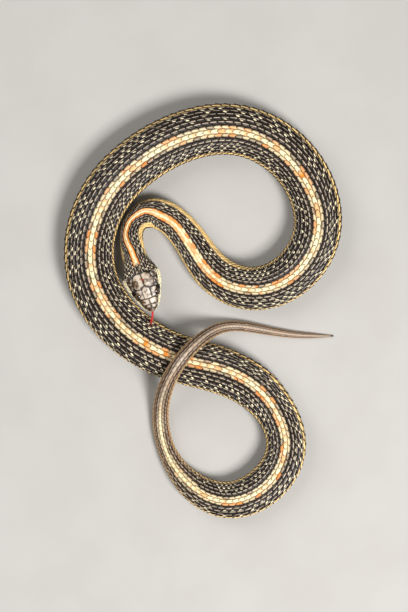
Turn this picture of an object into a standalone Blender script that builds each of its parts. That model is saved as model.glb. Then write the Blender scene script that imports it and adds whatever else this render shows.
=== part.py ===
"""Garter snake, life size, coiled flat on the ground with its head and neck lifted.

Metres, +Z up. The floor is z = 0, and the origin is under the middle of the footprint.
Stations along the animal are in millimetres from the tip of the snout.
"""

import math

import bmesh
import bpy
import numpy as np

MM = 0.001
GAP = 0.3  # space between neighbouring pieces, mm

# The course of the spine seen from above, as points in mm from the snout to the tip of the tail.
HEAD_AND_NECK = [(-22.3, 0.5), (-26.75, 14), (-30.3, 24.2), (-30, 39), (-24, 43)]
GREAT_LOOP = [
    (-6.5, 31.9), (3.3, 18.3), (16, 11), (29, 11.5), (48.5, 31.5), (43, 61), (17, 79),
    (-31, 64), (-42.5, 51.5), (-49.5, 18), (-29.5, -11), (-11.5, -20), (22, -33),
]
HIND_LOOP = [(35.5, -61.5), (12.5, -82), (-3, -77.5), (-19, -47.5), (-5.5, -15.5)]
TAIL_END = [(9.5, -6.5), (24, -7.5), (40, -10), (58.5, -10.5)]
CENTRE_SHIFT = (0.52, -0.43)  # mm, brings the footprint's middle to the origin

# Stations in mm from the snout.
JAW_CORNER = 17.0
HEAD_BACK = 23.0
NECK_BACK = 41.0
NAPE_TOUCH = 58.0
VENT = 485.0
TIP = 622.0
BODY_LENGTHS = 13
TAIL_CUTS = (511.0, 538.0, 570.0)

# (station, full width in mm)
WIDTHS = [
    (0, 1.8), (0.6, 3.8), (1.8, 6.1), (4.4, 9.1), (8, 12), (13, 15.1), (16.7, 15.7),
    (20, 13.8), (23, 11.3), (26, 10.3), (33, 9.9), (48, 12.6), (70, 14.5), (101, 18.2),
    (160, 20.9), (215, 22), (330, 21.4), (400, 19.6), (420, 17.3), (452, 16.9), (469, 16),
    (490, 11.7), (500, 8.7), (510, 7.2), (537, 6.7), (556, 5.9), (588, 4.1), (612, 2.3), (622, 0.7),
]
# (station, height of the underside above the floor in mm), from the head down to the ground
UNDERSIDE = [
    (0, 10.3), (0.6, 9.7), (1.8, 9.1), (4.4, 8.4), (8, 8.1), (17, 7.8), (23, 7.5),
    (28, 6.2), (34, 3.9), (41, 1.4), (47, 0.2), (51, 0),
]
# (station, height of the crown above the floor in mm), as far back as the nape
CROWN = [(0, 11.7), (0.6, 12.5), (1.8, 13.2), (4.4, 14.1), (8, 15.1), (13, 16.3), (17, 16.7), (23, 16.2)]
# (station, height of the body as a share of its width)
DEPTH_SHARE = [(23, 0.78), (30, 0.86), (60, 0.84), (120, 0.78), (470, 0.77), (500, 0.86), (622, 0.9)]

CROSSING = 549.5  # station where the tail lies over the body
CROSSING_RISE = 16.65
CROSSING_REACH = 17.0
CROSSING_SHAPE = 2.6

# (station, degrees that the back leans to the animal's right), most where the neck bends
ROLL = [(0, 0), (23, 0), (33, 28), (42, 28), (55, 0), (622, 0)]

WIDEST_SHARE = 0.42  # height of the widest level as a share of the depth
BACK_POWER = [(0, 2.2), (3, 2.45), (8, 2.2), (15, 2.35), (24, 2.1), (622, 2.1)]  # squareness of the back
BELLY_POWER = 2.7
BELLY_SINK = 0.035  # share of the depth pressed flat on the ground

MOUTH_SHARE = [(0, 0.5), (1.8, 0.42), (6, 0.35), (12, 0.31), (17, 0.36)]  # mouth line, share of the head's depth
JAW_SETBACK = 0.9

# Swellings and hollows of the head: station mm, turn from the midline of the back in degrees,
# spread along in mm, spread round in degrees, push outwards in mm
HEAD_FEATURES = [
    (8.3, 44, 2.3, 11, 0.42),  # brow over the eye
    (4.9, 66, 1.5, 14, -0.32),  # hollow before the eye
    (14.6, 78, 3.2, 24, 0.35),  # muscle of the jaw
    (13.5, 20, 3.2, 14, 0.18),  # swelling of the crown
    (17.5, 0, 3.5, 10, -0.2),  # dip behind the crown
]
LIP_SWELL = 0.16

EYE_STATION = 8.1
EYE_SIDE = 4.15
EYE_LEVEL = 12.95
EYE_RADIUS = 1.75

NOSTRIL_STATION = 2.1
NOSTRIL_SIDE = 2.72
NOSTRIL_LEVEL = 12.0
NOSTRIL_RADIUS = 0.36

# Points of the tongue in mm: ahead of the snout, to the animal's left, and height above the floor.
TONGUE_ROOT = (-1.2, 0, 10.75)
TONGUE_LIP = (1.6, -0.15, 10.9)
TONGUE_FORK = (4.0, -1.8, 12.8)
TONGUE_TIPS = ((6.3, -3.9, 16.2), (7.1, -2.2, 16.2))
TONGUE_WIDTH = 0.9
TONGUE_THICKNESS = 0.55

PLATE_RISE = 0.2
PLATE_ROOT = 0.5
PLATE_SEAM = 0.13  # half the groove between two plates

# Plates of one side of the head as corners: station in mm, turn in degrees from the midline of the back.
# A turn of LIP is the edge of the mouth.
LIP = 999
CROWN_PLATES = {
    "internasal": [(1.45, 3), (1.2, 27), (1.9, 40), (3.1, 37), (3.1, 2)],
    "prefrontal": [(3.1, 2), (3.1, 37), (3.7, 49), (5.2, 47), (5.9, 34), (5.75, 16), (5.6, 2)],
    "supraocular": [(5.85, 18), (6.05, 35), (7.0, 43), (8.5, 45), (10.0, 40), (10.35, 29), (10.2, 16), (7.6, 18)],
    "parietal": [(11.4, 2), (10.7, 10), (10.3, 16), (10.5, 30), (11.4, 37), (13.2, 38), (15.4, 32), (17.2, 21),
                 (17.8, 10), (17.4, 2)],
    "nasal_front": [(0.95, 52), (1.2, 33), (1.95, 42), (1.95, 73), (0.95, 76)],
    "nasal_back": [(1.95, 42), (3.2, 40), (3.7, 51), (3.7, 73), (1.95, 74)],
    "loreal": [(3.7, 51), (5.1, 49), (5.1, 71), (3.7, 73)],
    "preocular": [(5.1, 49), (5.9, 38), (6.4, 46), (6.1, 58), (6.3, 69), (5.1, 71)],
    "postocular_upper": [(10.2, 43), (11.4, 39), (11.7, 49), (10.4, 52)],
    "postocular_middle": [(10.4, 52), (11.7, 49), (11.8, 59), (10.3, 62)],
    "postocular_lower": [(10.3, 62), (11.8, 59), (11.7, 70), (9.9, 72)],
    "temporal_front": [(11.8, 41), (14.0, 41), (14.3, 54), (13.9, 68), (11.8, 70)],
    "temporal_upper": [(14.0, 40), (16.4, 32), (17.0, 44), (14.3, 52)],
    "temporal_lower": [(14.3, 54), (17.0, 46), (17.3, 62), (14.0, 68)],
}
MIDDLE_PLATES = {
    "rostral": [(0.2, LIP), (0.8, LIP), (0.9, 60), (1.15, 27), (1.45, 0)],
    "frontal": [(5.6, 0), (5.8, 16), (7.6, 16), (9.8, 14), (10.6, 8), (11.4, 0)],
}
UPPER_LIP_EDGES = (0.95, 2.6, 4.3, 6.2, 8.3, 10.4, 13.0, 16.5)
UPPER_LIP_TOP = [(0.9, 76), (5, 73), (8, 76), (11, 72), (16.5, 66)]
LOWER_LIP_EDGES = (2.1, 3.8, 5.6, 7.8, 10.4, 13.4, 16.4)
LOWER_LIP_BOTTOM = 116
CHIN_SHIELDS = [
    [(2.6, 178), (2.4, 160), (6.6, 150), (7.2, 178)],
    [(7.4, 177), (6.9, 150), (11.6, 146), (12.2, 160), (10.6, 177)],
]

SCUTE_PITCH = 6.0  # belly plates, coarser than the real ones
SCUTE_RISE = 0.2
SCUTE_TURN = math.radians(118)  # the belly plates begin below this turn

BODY_SIDES = 16
TAIL_SIDES = 12
HEAD_SIDES = 26


def spline(points, samples=6000):
    """Natural cubic spline through the points, over their chord length."""
    points = np.asarray(points, float)
    knots = np.concatenate([[0], np.cumsum(np.linalg.norm(np.diff(points, axis=0), axis=1))])
    step = np.diff(knots)
    count = len(knots)
    matrix = np.eye(count)
    right = np.zeros_like(points)
    for i in range(1, count - 1):
        matrix[i, i - 1] = step[i - 1]
        matrix[i, i] = 2 * (step[i - 1] + step[i])
        matrix[i, i + 1] = step[i]
        right[i] = 6 * ((points[i + 1] - points[i]) / step[i] - (points[i] - points[i - 1]) / step[i - 1])
    bend = np.linalg.solve(matrix, right)
    at = np.linspace(0, knots[-1], samples)
    k = np.clip(np.searchsorted(knots, at) - 1, 0, count - 2)
    h = step[k][:, None]
    a = (knots[k + 1] - at)[:, None]
    b = (at - knots[k])[:, None]
    return (
        (bend[k] * a**3 + bend[k + 1] * b**3) / (6 * h)
        + (points[k] / h - bend[k] * h / 6) * a
        + (points[k + 1] / h - bend[k + 1] * h / 6) * b
    )


COURSE = spline(HEAD_AND_NECK + GREAT_LOOP + HIND_LOOP + TAIL_END) + np.array(CENTRE_SHIFT)
RUN = np.concatenate([[0], np.cumsum(np.linalg.norm(np.diff(COURSE, axis=0), axis=1))])


def ease(stations, s):
    """Smooth curve through (station, value) pairs that never overshoots them."""
    x, y = np.array(stations, float).T
    slope = np.diff(y) / np.diff(x)
    tangent = np.zeros(len(x))
    same = slope[:-1] * slope[1:] > 0
    tangent[1:-1][same] = 2 / (1 / slope[:-1][same] + 1 / slope[1:][same])
    tangent[0], tangent[-1] = slope[0], slope[-1]
    s = np.clip(s, x[0], x[-1])
    k = np.clip(np.searchsorted(x, s, side="right") - 1, 0, len(x) - 2)
    h = x[k + 1] - x[k]
    t = (s - x[k]) / h
    return (
        y[k] * (1 + 2 * t) * (1 - t) ** 2
        + tangent[k] * h * t * (1 - t) ** 2
        + y[k + 1] * t * t * (3 - 2 * t)
        + tangent[k + 1] * h * t * t * (t - 1)
    )


def smooth(a, b, s):
    t = np.clip((s - a) / (b - a), 0, 1)
    return t * t * (3 - 2 * t)


def lift(s):
    """Height of the underside above the floor."""
    rise = CROSSING_RISE * np.exp(-np.abs((s - CROSSING) / CROSSING_REACH) ** CROSSING_SHAPE)
    return ease(UNDERSIDE, s) + np.where(s > VENT, rise, 0)


def depth(s):
    """Height of the section: crown less underside in the head, a share of the width behind it."""
    head = ease(CROWN, s) - ease(UNDERSIDE, s)
    body = ease(WIDTHS, s) * ease(DEPTH_SHARE, s)
    mix = smooth(19, 27, s)
    return head * (1 - mix) + body * mix


def place(s):
    """Point on the spine's course at each station, with the height of the underside."""
    return np.stack([np.interp(s, RUN, COURSE[:, 0]), np.interp(s, RUN, COURSE[:, 1]), lift(s)], -1)


def frames(s):
    """Underside point, direction to the animal's left, and direction of its back at each station."""
    ahead = place(s + 0.25) - place(s - 0.25)
    inside = (s > 0.25) & (s < RUN[-1] - 0.25)
    ahead = np.where(inside[..., None], ahead, place(np.clip(s, 0.5, RUN[-1] - 0.5) + 0.25)
                     - place(np.clip(s, 0.5, RUN[-1] - 0.5) - 0.25))
    ahead[..., 2] *= (s > HEAD_BACK + 2)[...]
    ahead /= np.linalg.norm(ahead, axis=-1, keepdims=True)
    left = np.cross(ahead, [0, 0, 1])
    left /= np.linalg.norm(left, axis=-1, keepdims=True)
    return place(s), left, np.cross(left, ahead)


def outline(s, turn):
    """Section at station s: side and height in mm at each turn, from the back round by the left.

    side = a sin^(2/n), height = c + b cos^(2/n), a superellipse whose upper and lower halves differ.
    """
    back_power = ease(BACK_POWER, s)
    belly_power = BELLY_POWER
    half = ease(WIDTHS, s) / 2
    tall = depth(s)
    sink = BELLY_SINK * smooth(44, 52, s)
    low = WIDEST_SHARE * (1 + sink)
    sine, cosine = np.sin(turn), np.cos(turn)
    power = np.where(cosine > 0, back_power, belly_power)
    side = half * np.sign(sine) * np.abs(sine) ** (2 / power)
    height = np.where(
        cosine > 0,
        WIDEST_SHARE + (1 - WIDEST_SHARE) * np.abs(cosine) ** (2 / back_power),
        WIDEST_SHARE - low * np.abs(cosine) ** (2 / belly_power),
    ) * tall
    push = head_push(s, turn)
    return side + push * sine, height + push * cosine


def head_push(s, turn):
    """Swellings of the head at each station and turn, in mm."""
    round_by = np.degrees(np.abs((turn + np.pi) % (2 * np.pi) - np.pi))
    push = LIP_SWELL * np.exp(-(((round_by - 88) / 9) ** 2)) * smooth(0, 2, s) * smooth(18, 15, s)
    for station, angle, along, spread, amount in HEAD_FEATURES:
        push = push + amount * np.exp(-(((s - station) / along) ** 2) - ((round_by - angle) / spread) ** 2)
    return push


def scute_step(s):
    """Rise of the belly plates: 0 at a plate's front edge, 1 over its rear."""
    phase = np.mod((s - HEAD_BACK) / SCUTE_PITCH, 1)
    return smooth(0.02, 0.2, phase)


def section(s, turn):
    """Side and height of the skin in its own section, and how far a belly plate's front is raised there."""
    side, height = outline(s, turn)
    round_by = np.abs((turn + np.pi) % (2 * np.pi) - np.pi)
    belly = smooth(SCUTE_TURN - 0.25, SCUTE_TURN + 0.1, round_by) * smooth(HEAD_BACK, HEAD_BACK + 3, s)
    dip = SCUTE_RISE * belly * (1 - scute_step(s))
    return side - dip * np.sin(turn), height, dip


def to_world(s, side, height, dip=0.0):
    """Leans the section over, stands it on its place along the course, and keeps it on the floor."""
    foot, left, up = frames(s)
    middle = 0.5 * depth(s)
    lean = np.radians(ease(ROLL, s))
    across = side * np.cos(lean) - (height - middle) * np.sin(lean)
    above = side * np.sin(lean) + (height - middle) * np.cos(lean) + middle
    points = foot + left * across[..., None] + up * above[..., None]
    points[..., 2] = np.maximum(points[..., 2], 0) + dip
    return points


def surface(s, turn):
    """Points of the skin at stations s and turns, arrays of one shape."""
    return to_world(s, *section(s, turn))


def turns_at(stations, sides):
    return np.meshgrid(stations, np.arange(sides) * 2 * np.pi / sides, indexing="ij")


def ring_points(stations, sides):
    return surface(*turns_at(stations, sides))


def material(name, colour, roughness=0.55):
    shade = bpy.data.materials.new(name)
    shade.use_nodes = True
    shader = shade.node_tree.nodes["Principled BSDF"]
    shader.inputs["Base Color"].default_value = (*colour, 1)
    shader.inputs["Roughness"].default_value = roughness
    return shade


def new_object(name, mesh, collection):
    thing = bpy.data.objects.new(name, mesh)
    collection.objects.link(thing)
    mesh.shade_smooth()
    mesh.set_sharp_from_angle(angle=math.radians(40))
    return thing


def loft(name, rings, collection):
    """Closed mesh through rings of equal count, with a flat cap at each end."""
    count, sides = rings.shape[:2]
    bm = bmesh.new()
    grid = [[bm.verts.new(point * MM) for point in ring] for ring in rings]
    for i in range(count - 1):
        for j in range(sides):
            k = (j + 1) % sides
            bm.faces.new((grid[i][j], grid[i][k], grid[i + 1][k], grid[i + 1][j]))
    bm.faces.new(grid[0][::-1])
    bm.faces.new(grid[-1])
    bmesh.ops.recalc_face_normals(bm, faces=bm.faces)
    mesh = bpy.data.meshes.new(name)
    bm.to_mesh(mesh)
    bm.free()
    return new_object(name, mesh, collection)


def mouth_height(s):
    """Height of the mouth line in its section."""
    return ease(MOUTH_SHARE, s) * depth(s)


def lip_turn(s):
    """Turn in degrees at which the side of the head meets the mouth line."""
    share = ease(MOUTH_SHARE, s)
    up = np.clip((share - WIDEST_SHARE) / (1 - WIDEST_SHARE), 0, 1) ** (ease(BACK_POWER, s) / 2)
    down = np.clip((WIDEST_SHARE - share) / WIDEST_SHARE, 0, 1) ** (BELLY_POWER / 2)
    return np.degrees(np.arccos(up - down))


def jaw_section(s, turn):
    """Section of the lower jaw: the head's own, narrower, above all at the tip."""
    side, height, dip = section(s, turn)
    return side * (0.96 - 0.5 * np.exp(-(s - JAW_SETBACK) / 0.8)), height, dip


def jaw_surface(s, turn):
    return to_world(s, *jaw_section(s, turn))


def dense_outline(corners, along=2.0, round_by=15.0):
    """Corners of a plate with points added along its longer sides."""
    points = []
    for a, b in zip(corners, corners[1:] + corners[:1]):
        parts = max(1, int(round(math.hypot((b[0] - a[0]) / along, (b[1] - a[1]) / round_by))))
        points += [(a[0] + (b[0] - a[0]) * k / parts, a[1] + (b[1] - a[1]) * k / parts) for k in range(parts)]
    return points


def plate(corners, skin, collection):
    """Low slab on the skin: a domed top inside the corners, and a root sunk below them."""
    chart = np.array(dense_outline(corners))
    centre = chart.mean(0)
    base = skin(chart[:, 0], np.radians(chart[:, 1]))
    middle = skin(centre[:1], np.radians(centre[1:]))[0]
    reach = np.linalg.norm(base - middle, axis=1)[:, None]

    def ring(share, rise):
        mixed = centre + (chart - centre) * np.clip(share, 0.05, 1)
        s, turn = mixed[:, 0], np.radians(mixed[:, 1])
        here = skin(s, turn)
        side = np.cross(skin(s + 0.05, turn) - skin(s - 0.05, turn), skin(s, turn + 0.02) - skin(s, turn - 0.02))
        side /= np.linalg.norm(side, axis=1, keepdims=True)
        return here - side * rise

    seam = 1 - PLATE_SEAM / reach
    rings = [
        ring(seam, -PLATE_ROOT),
        ring(seam, PLATE_RISE * 0.6),
        ring(seam - 0.16 / reach, PLATE_RISE),
        ring(0.45, PLATE_RISE * 1.15),
    ]
    bm = bmesh.new()
    grid = [[bm.verts.new(point * MM) for point in points] for points in rings]
    top = bm.verts.new(np.mean(rings[3], 0) * MM)
    foot = bm.verts.new(np.mean(rings[0], 0) * MM)
    count = len(chart)
    for j in range(count):
        k = (j + 1) % count
        for lower_ring, upper_ring in zip(grid, grid[1:]):
            bm.faces.new((lower_ring[j], lower_ring[k], upper_ring[k], upper_ring[j]))
        bm.faces.new((grid[3][j], grid[3][k], top))
        bm.faces.new((grid[0][k], grid[0][j], foot))
    bmesh.ops.recalc_face_normals(bm, faces=bm.faces)
    mesh = bpy.data.meshes.new("plate")
    bm.to_mesh(mesh)
    bm.free()
    return new_object("plate", mesh, collection)


def to_lip(corners, clear):
    return [(s, float(lip_turn(np.array(s))) + clear if turn == LIP else turn) for s, turn in corners]


def mirrored(corners):
    return [(s, -turn) for s, turn in reversed(corners)]


def head_plates(collection):
    """Crown, cheek and upper lip plates of both sides."""
    outlines = []
    for corners in CROWN_PLATES.values():
        outlines += [corners, mirrored(corners)]
    for corners in MIDDLE_PLATES.values():
        corners = to_lip(corners, -3)
        outlines.append(corners + [(s, -turn) for s, turn in reversed(corners) if turn])
    for front, back in zip(UPPER_LIP_EDGES, UPPER_LIP_EDGES[1:]):
        top = [(s, float(ease(UPPER_LIP_TOP, np.array(s)))) for s in (front, back)]
        corners = [top[0], top[1], *to_lip([(back, LIP), (front, LIP)], -3)]
        outlines += [corners, mirrored(corners)]
    return [plate(corners, surface, collection) for corners in outlines]


def jaw_plates(collection):
    """Lower lip plates and chin shields of both sides, with the mental at the tip."""
    outlines = [[(1.15, 118), (2.1, 122), (2.3, 180), (2.1, 238), (1.15, 242), (1.1, 180)]]
    for front, back in zip(LOWER_LIP_EDGES, LOWER_LIP_EDGES[1:]):
        corners = [*to_lip([(front, LIP), (back, LIP)], 5), (back, LOWER_LIP_BOTTOM), (front, LOWER_LIP_BOTTOM)]
        outlines += [corners, mirrored(corners)]
    for corners in CHIN_SHIELDS:
        outlines += [corners, mirrored(corners)]
    return [plate(corners, jaw_surface, collection) for corners in outlines]


def head_rings():
    """Upper head: its underside is the roof of the mouth as far as the jaw's corner."""
    front = JAW_CORNER * (1 - np.cos(np.linspace(0.09, 1, 15) * math.pi / 2))
    stations = np.concatenate([front, [JAW_CORNER + 0.15], np.linspace(JAW_CORNER + 1.8, HEAD_BACK - GAP / 2, 4)])
    s, turn = turns_at(stations, HEAD_SIDES)
    side, height, dip = section(s, turn)
    roof = mouth_height(s) + GAP / 2
    return to_world(s, side, np.where(s <= JAW_CORNER, np.maximum(height, roof), height), dip)


def jaw_rings():
    """Lower jaw: its upper side is the floor of the mouth."""
    spread = 1 - np.cos(np.linspace(0.1, 1, 13) * math.pi / 2)
    s, turn = turns_at(JAW_SETBACK + (JAW_CORNER - GAP / 2 - JAW_SETBACK) * spread, HEAD_SIDES)
    side, height, dip = jaw_section(s, turn)
    return to_world(s, side, np.minimum(height, mouth_height(s) - GAP / 2), dip)


def head_place(station, side, level):
    """Point of the head from its station, its distance left of the middle and its height before it leans."""
    at = np.array([max(station, 0.0)])
    point = to_world(at, np.array([float(side)]), level - lift(at))[0]
    left = frames(at)[1][0]
    return point + np.cross([0, 0, 1], left) * min(station, 0.0)


def ball(name, centre, radius, collection, segments=16, rings=10, stretch=(1, 1, 1)):
    bm = bmesh.new()
    bmesh.ops.create_uvsphere(bm, u_segments=segments, v_segments=rings, radius=radius * MM)
    for vert in bm.verts:
        for axis in range(3):
            vert.co[axis] = vert.co[axis] * stretch[axis] + centre[axis] * MM
    mesh = bpy.data.meshes.new(name)
    bm.to_mesh(mesh)
    bm.free()
    return new_object(name, mesh, collection)


def boolean(thing, others, operation):
    """Applies one Boolean of a collection to the object and removes the collection's objects."""
    tools = bpy.data.collections.new("tools")
    bpy.context.scene.collection.children.link(tools)
    for other in others:
        for owner in list(other.users_collection):
            owner.objects.unlink(other)
        tools.objects.link(other)
    modifier = thing.modifiers.new(operation.lower(), "BOOLEAN")
    modifier.operation = operation
    modifier.solver = "MANIFOLD"  # the exact solver leaves open edges on these thin lips
    modifier.operand_type = "COLLECTION"
    modifier.collection = tools
    graph = bpy.context.evaluated_depsgraph_get()
    result = bpy.data.meshes.new_from_object(thing.evaluated_get(graph))
    thing.modifiers.clear()
    old = thing.data
    thing.data = result
    bpy.data.meshes.remove(old)
    for other in list(tools.objects):
        bpy.data.objects.remove(other)
    bpy.data.collections.remove(tools)


def keep_largest(thing):
    """Keeps only the largest closed surface of the object's mesh."""
    bm = bmesh.new()
    bm.from_mesh(thing.data)
    left = set(bm.faces)
    groups = []
    while left:
        front = [left.pop()]
        group = list(front)
        while front:
            face = front.pop()
            for edge in face.edges:
                for other in edge.link_faces:
                    if other in left:
                        left.remove(other)
                        front.append(other)
                        group.append(other)
        groups.append(group)
    groups.sort(key=lambda group: -sum(face.calc_area() for face in group))
    scrap = [face for group in groups[1:] for face in group]
    if scrap:
        bmesh.ops.delete(bm, geom=scrap, context="FACES")
    bm.to_mesh(thing.data)
    bm.free()


def strip(path, widths, thickness):
    """Rings of a flat ribbon along a path: eight-sided, lying level across its run."""
    path = np.asarray(path, float)
    along = np.gradient(path, axis=0)
    along /= np.linalg.norm(along, axis=1, keepdims=True)
    across = np.cross(along, [0, 0, 1])
    across /= np.linalg.norm(across, axis=1, keepdims=True)
    up = np.cross(across, along)
    turn = np.arange(8) * math.pi / 4 + math.pi / 8
    wide = np.asarray(widths)[:, None, None] / 2
    thick = np.asarray(thickness)[:, None, None] / 2
    return (
        path[:, None]
        + across[:, None] * np.cos(turn)[None, :, None] * wide
        + up[:, None] * np.sin(turn)[None, :, None] * thick
    )


def bend_between(start, middle, end, count):
    t = np.linspace(0, 1, count)[:, None]
    start, middle, end = (np.asarray(p, float) for p in (start, middle, end))
    return start * (1 - t) ** 2 + 2 * middle * t * (1 - t) + end * t * t


def make_tongue(collection):
    """Flat stem from the notch between the lips, forking into two upturned tines."""
    root, lip, fork, *tips = (
        head_place(-ahead, side, level) for ahead, side, level in (TONGUE_ROOT, TONGUE_LIP, TONGUE_FORK, *TONGUE_TIPS)
    )
    path = bend_between(root, lip, fork, 7)
    widths = TONGUE_WIDTH * np.linspace(1, 0.9, 7)
    tongue = loft("tongue", strip(path, widths, TONGUE_THICKNESS * np.linspace(1, 0.9, 7)), collection)
    run = (path[-1] - path[-2]) / np.linalg.norm(path[-1] - path[-2])
    tines = []
    for side, tip in zip((-1, 1), tips):
        aside = np.cross(run, [0, 0, 1]) * side * 0.2
        tine = bend_between(fork - run * 0.8 - aside, fork + run * 1.4 - aside * 1.5, tip, 7)
        widths = 0.5 * np.linspace(1, 0.45, 7)
        tines.append(loft("tine", strip(tine, widths, 0.46 * np.linspace(1, 0.5, 7)), collection))
    boolean(tongue, tines, "UNION")
    keep_largest(tongue)
    return tongue


def length_cuts():
    """Node names with their first and last stations, from the neck to the tip of the tail."""
    body = np.linspace(NAPE_TOUCH, VENT, BODY_LENGTHS + 1)
    lengths = [("neck", HEAD_BACK, NECK_BACK), ("body_01", NECK_BACK, NAPE_TOUCH)]
    lengths += [(f"body_{k + 2:02d}", body[k], body[k + 1]) for k in range(BODY_LENGTHS)]
    tail = (VENT, *TAIL_CUTS, TIP)
    return lengths + [(f"tail_{k + 1}", tail[k], tail[k + 1]) for k in range(len(tail) - 1)]


def length_rings(start, end):
    """Rings at the front edge, the step and the rear of each belly plate."""
    first, last = start + GAP / 2, end - GAP / 2 if end < TIP else end
    plates = np.arange(math.floor((first - HEAD_BACK) / SCUTE_PITCH), (last - HEAD_BACK) / SCUTE_PITCH)
    fronts = HEAD_BACK + plates * SCUTE_PITCH
    stations = np.sort(np.concatenate([fronts + SCUTE_PITCH * share for share in (0.01, 0.21, 0.97)]))
    stations = stations[(stations > first + 0.5) & (stations < last - 0.5)]
    sides = TAIL_SIDES if start > VENT else BODY_SIDES
    return ring_points(np.concatenate([[first], stations, [last]]), sides)


def main():
    for thing in list(bpy.data.objects):
        bpy.data.objects.remove(thing)
    snake = bpy.data.collections.new("garter_snake")
    bpy.context.scene.collection.children.link(snake)
    skin = material("scaled_skin", (0.19, 0.16, 0.11), 0.5)
    crown = material("head_plates", (0.26, 0.2, 0.16), 0.45)
    lips = material("pale_lips", (0.62, 0.55, 0.32), 0.5)
    glossy = material("wet_eye", (0.03, 0.022, 0.015), 0.08)
    red = material("tongue_red", (0.5, 0.05, 0.03), 0.35)

    head = loft("head", head_rings(), snake)
    jaw = loft("lower_jaw", jaw_rings(), snake)
    boolean(head, head_plates(snake), "UNION")
    keep_largest(head)
    boolean(jaw, jaw_plates(snake), "UNION")
    keep_largest(jaw)
    cutters = []
    for side, name in ((1, "eye_left"), (-1, "eye_right")):
        centre = head_place(EYE_STATION, side * EYE_SIDE, EYE_LEVEL)
        ball(name, centre, EYE_RADIUS, snake).data.materials.append(glossy)
        cutters.append(ball(name + "_socket", centre, EYE_RADIUS + GAP, snake))
        nostril = head_place(NOSTRIL_STATION, side * NOSTRIL_SIDE, NOSTRIL_LEVEL)
        cutters.append(ball(name + "_nostril", nostril, NOSTRIL_RADIUS, snake, 8, 6, (1, 1.3, 1)))
    notch = head_place(0.4, 0, TONGUE_ROOT[2])
    for thing, tools in ((head, cutters), (jaw, [])):
        groove = ball("groove", notch, 1.0, snake, 12, 8, (0.8, 1.7, 0.62))
        boolean(thing, tools + [groove], "DIFFERENCE")
        keep_largest(thing)
    make_tongue(snake).data.materials.append(red)
    head.data.materials.clear()
    head.data.materials.append(crown)
    jaw.data.materials.clear()
    jaw.data.materials.append(lips)
    for name, start, end in length_cuts():
        loft(name, length_rings(start, end), snake).data.materials.append(skin)


main()
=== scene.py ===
"""Garter snake: scaled skin, keeled back scales, eyes, tongue and a plain studio.

Laid out as a Blender add-on and run as a script. Lengths along the animal are in millimetres
from the tip of the snout, and every piece is placed in metres in the frame of the solids.
"""

import math
from functools import partial

import bpy
import numpy as np
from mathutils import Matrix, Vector


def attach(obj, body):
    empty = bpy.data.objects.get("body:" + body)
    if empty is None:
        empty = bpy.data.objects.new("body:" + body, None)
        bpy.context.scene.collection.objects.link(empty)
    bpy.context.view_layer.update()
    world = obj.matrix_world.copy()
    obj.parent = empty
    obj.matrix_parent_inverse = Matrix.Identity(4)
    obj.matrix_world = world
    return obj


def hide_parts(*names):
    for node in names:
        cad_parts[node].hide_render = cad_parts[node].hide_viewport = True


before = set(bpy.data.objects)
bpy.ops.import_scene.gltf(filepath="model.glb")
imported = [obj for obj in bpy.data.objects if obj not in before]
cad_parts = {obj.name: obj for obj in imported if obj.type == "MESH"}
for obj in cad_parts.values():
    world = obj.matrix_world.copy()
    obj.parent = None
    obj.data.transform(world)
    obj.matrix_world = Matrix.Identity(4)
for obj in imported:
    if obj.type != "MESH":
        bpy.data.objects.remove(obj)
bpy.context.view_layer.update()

bl_info = {
    "name": "Garter Snake",
    "version": (1, 0, 0),
    "blender": (4, 5, 0),
    "location": "3D View > Sidebar > Snake",
    "description": "Skin, scales, eyes, tongue and studio of a life-size garter snake",
    "category": "Object",
}

MM = 0.001
FLESH = [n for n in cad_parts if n.startswith(("head", "lower_jaw", "neck", "body_", "tail_"))]

# Points of the spine seen from above, mm, head first.
HEAD_AND_NECK = [(-22.3, 0.5), (-26.75, 14), (-30.3, 24.2), (-30, 39), (-24, 43)]
GREAT_LOOP = [
    (-6.5, 31.9), (3.3, 18.3), (16, 11), (29, 11.5), (48.5, 31.5), (43, 61), (17, 79),
    (-31, 64), (-42.5, 51.5), (-49.5, 18), (-29.5, -11), (-11.5, -20), (22, -33),
]
HIND_LOOP = [(35.5, -61.5), (12.5, -82), (-3, -77.5), (-19, -47.5), (-5.5, -15.5)]
TAIL_END = [(9.5, -6.5), (24, -7.5), (40, -10), (58.5, -10.5)]
# Shift of them all that puts the animal over the middle of the floor, mm.
CENTRE_SHIFT = (0.52, -0.43)

# Stations, mm from the snout.
HEAD_BACK = 23.0
VENT = 485.0
TIP = 622.0

# (station, mm) of the width, the underside's and the crown's height over the floor; (station, share) of depth to width.
WIDTHS = [
    (0, 1.8), (0.6, 3.8), (1.8, 6.1), (4.4, 9.1), (8, 12), (13, 15.1), (16.7, 15.7),
    (20, 13.8), (23, 11.3), (26, 10.3), (33, 9.9), (48, 12.6), (70, 14.5), (101, 18.2),
    (160, 20.9), (215, 22), (330, 21.4), (400, 19.6), (420, 17.3), (452, 16.9), (469, 16),
    (490, 11.7), (500, 8.7), (510, 7.2), (537, 6.7), (556, 5.9), (588, 4.1), (612, 2.3), (622, 0.7),
]
UNDERSIDE = [
    (0, 10.3), (0.6, 9.7), (1.8, 9.1), (4.4, 8.4), (8, 8.1), (17, 7.8), (23, 7.5),
    (28, 6.2), (34, 3.9), (41, 1.4), (47, 0.2), (51, 0),
]
CROWN = [(0, 11.7), (0.6, 12.5), (1.8, 13.2), (4.4, 14.1), (8, 15.1), (13, 16.3), (17, 16.7), (23, 16.2)]
DEPTH_SHARE = [(23, 0.78), (30, 0.86), (60, 0.84), (120, 0.78), (470, 0.77), (500, 0.86), (622, 0.9)]
# Where the tail passes over the body: station, rise, reach and power of the bell.
CROSSING, CROSSING_RISE, CROSSING_REACH, CROSSING_SHAPE = 549.5, 16.65, 17.0, 2.6
# (station, degrees) by which a section leans over.
ROLL = [(0, 0), (23, 0), (33, 28), (42, 28), (55, 0), (622, 0)]
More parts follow.
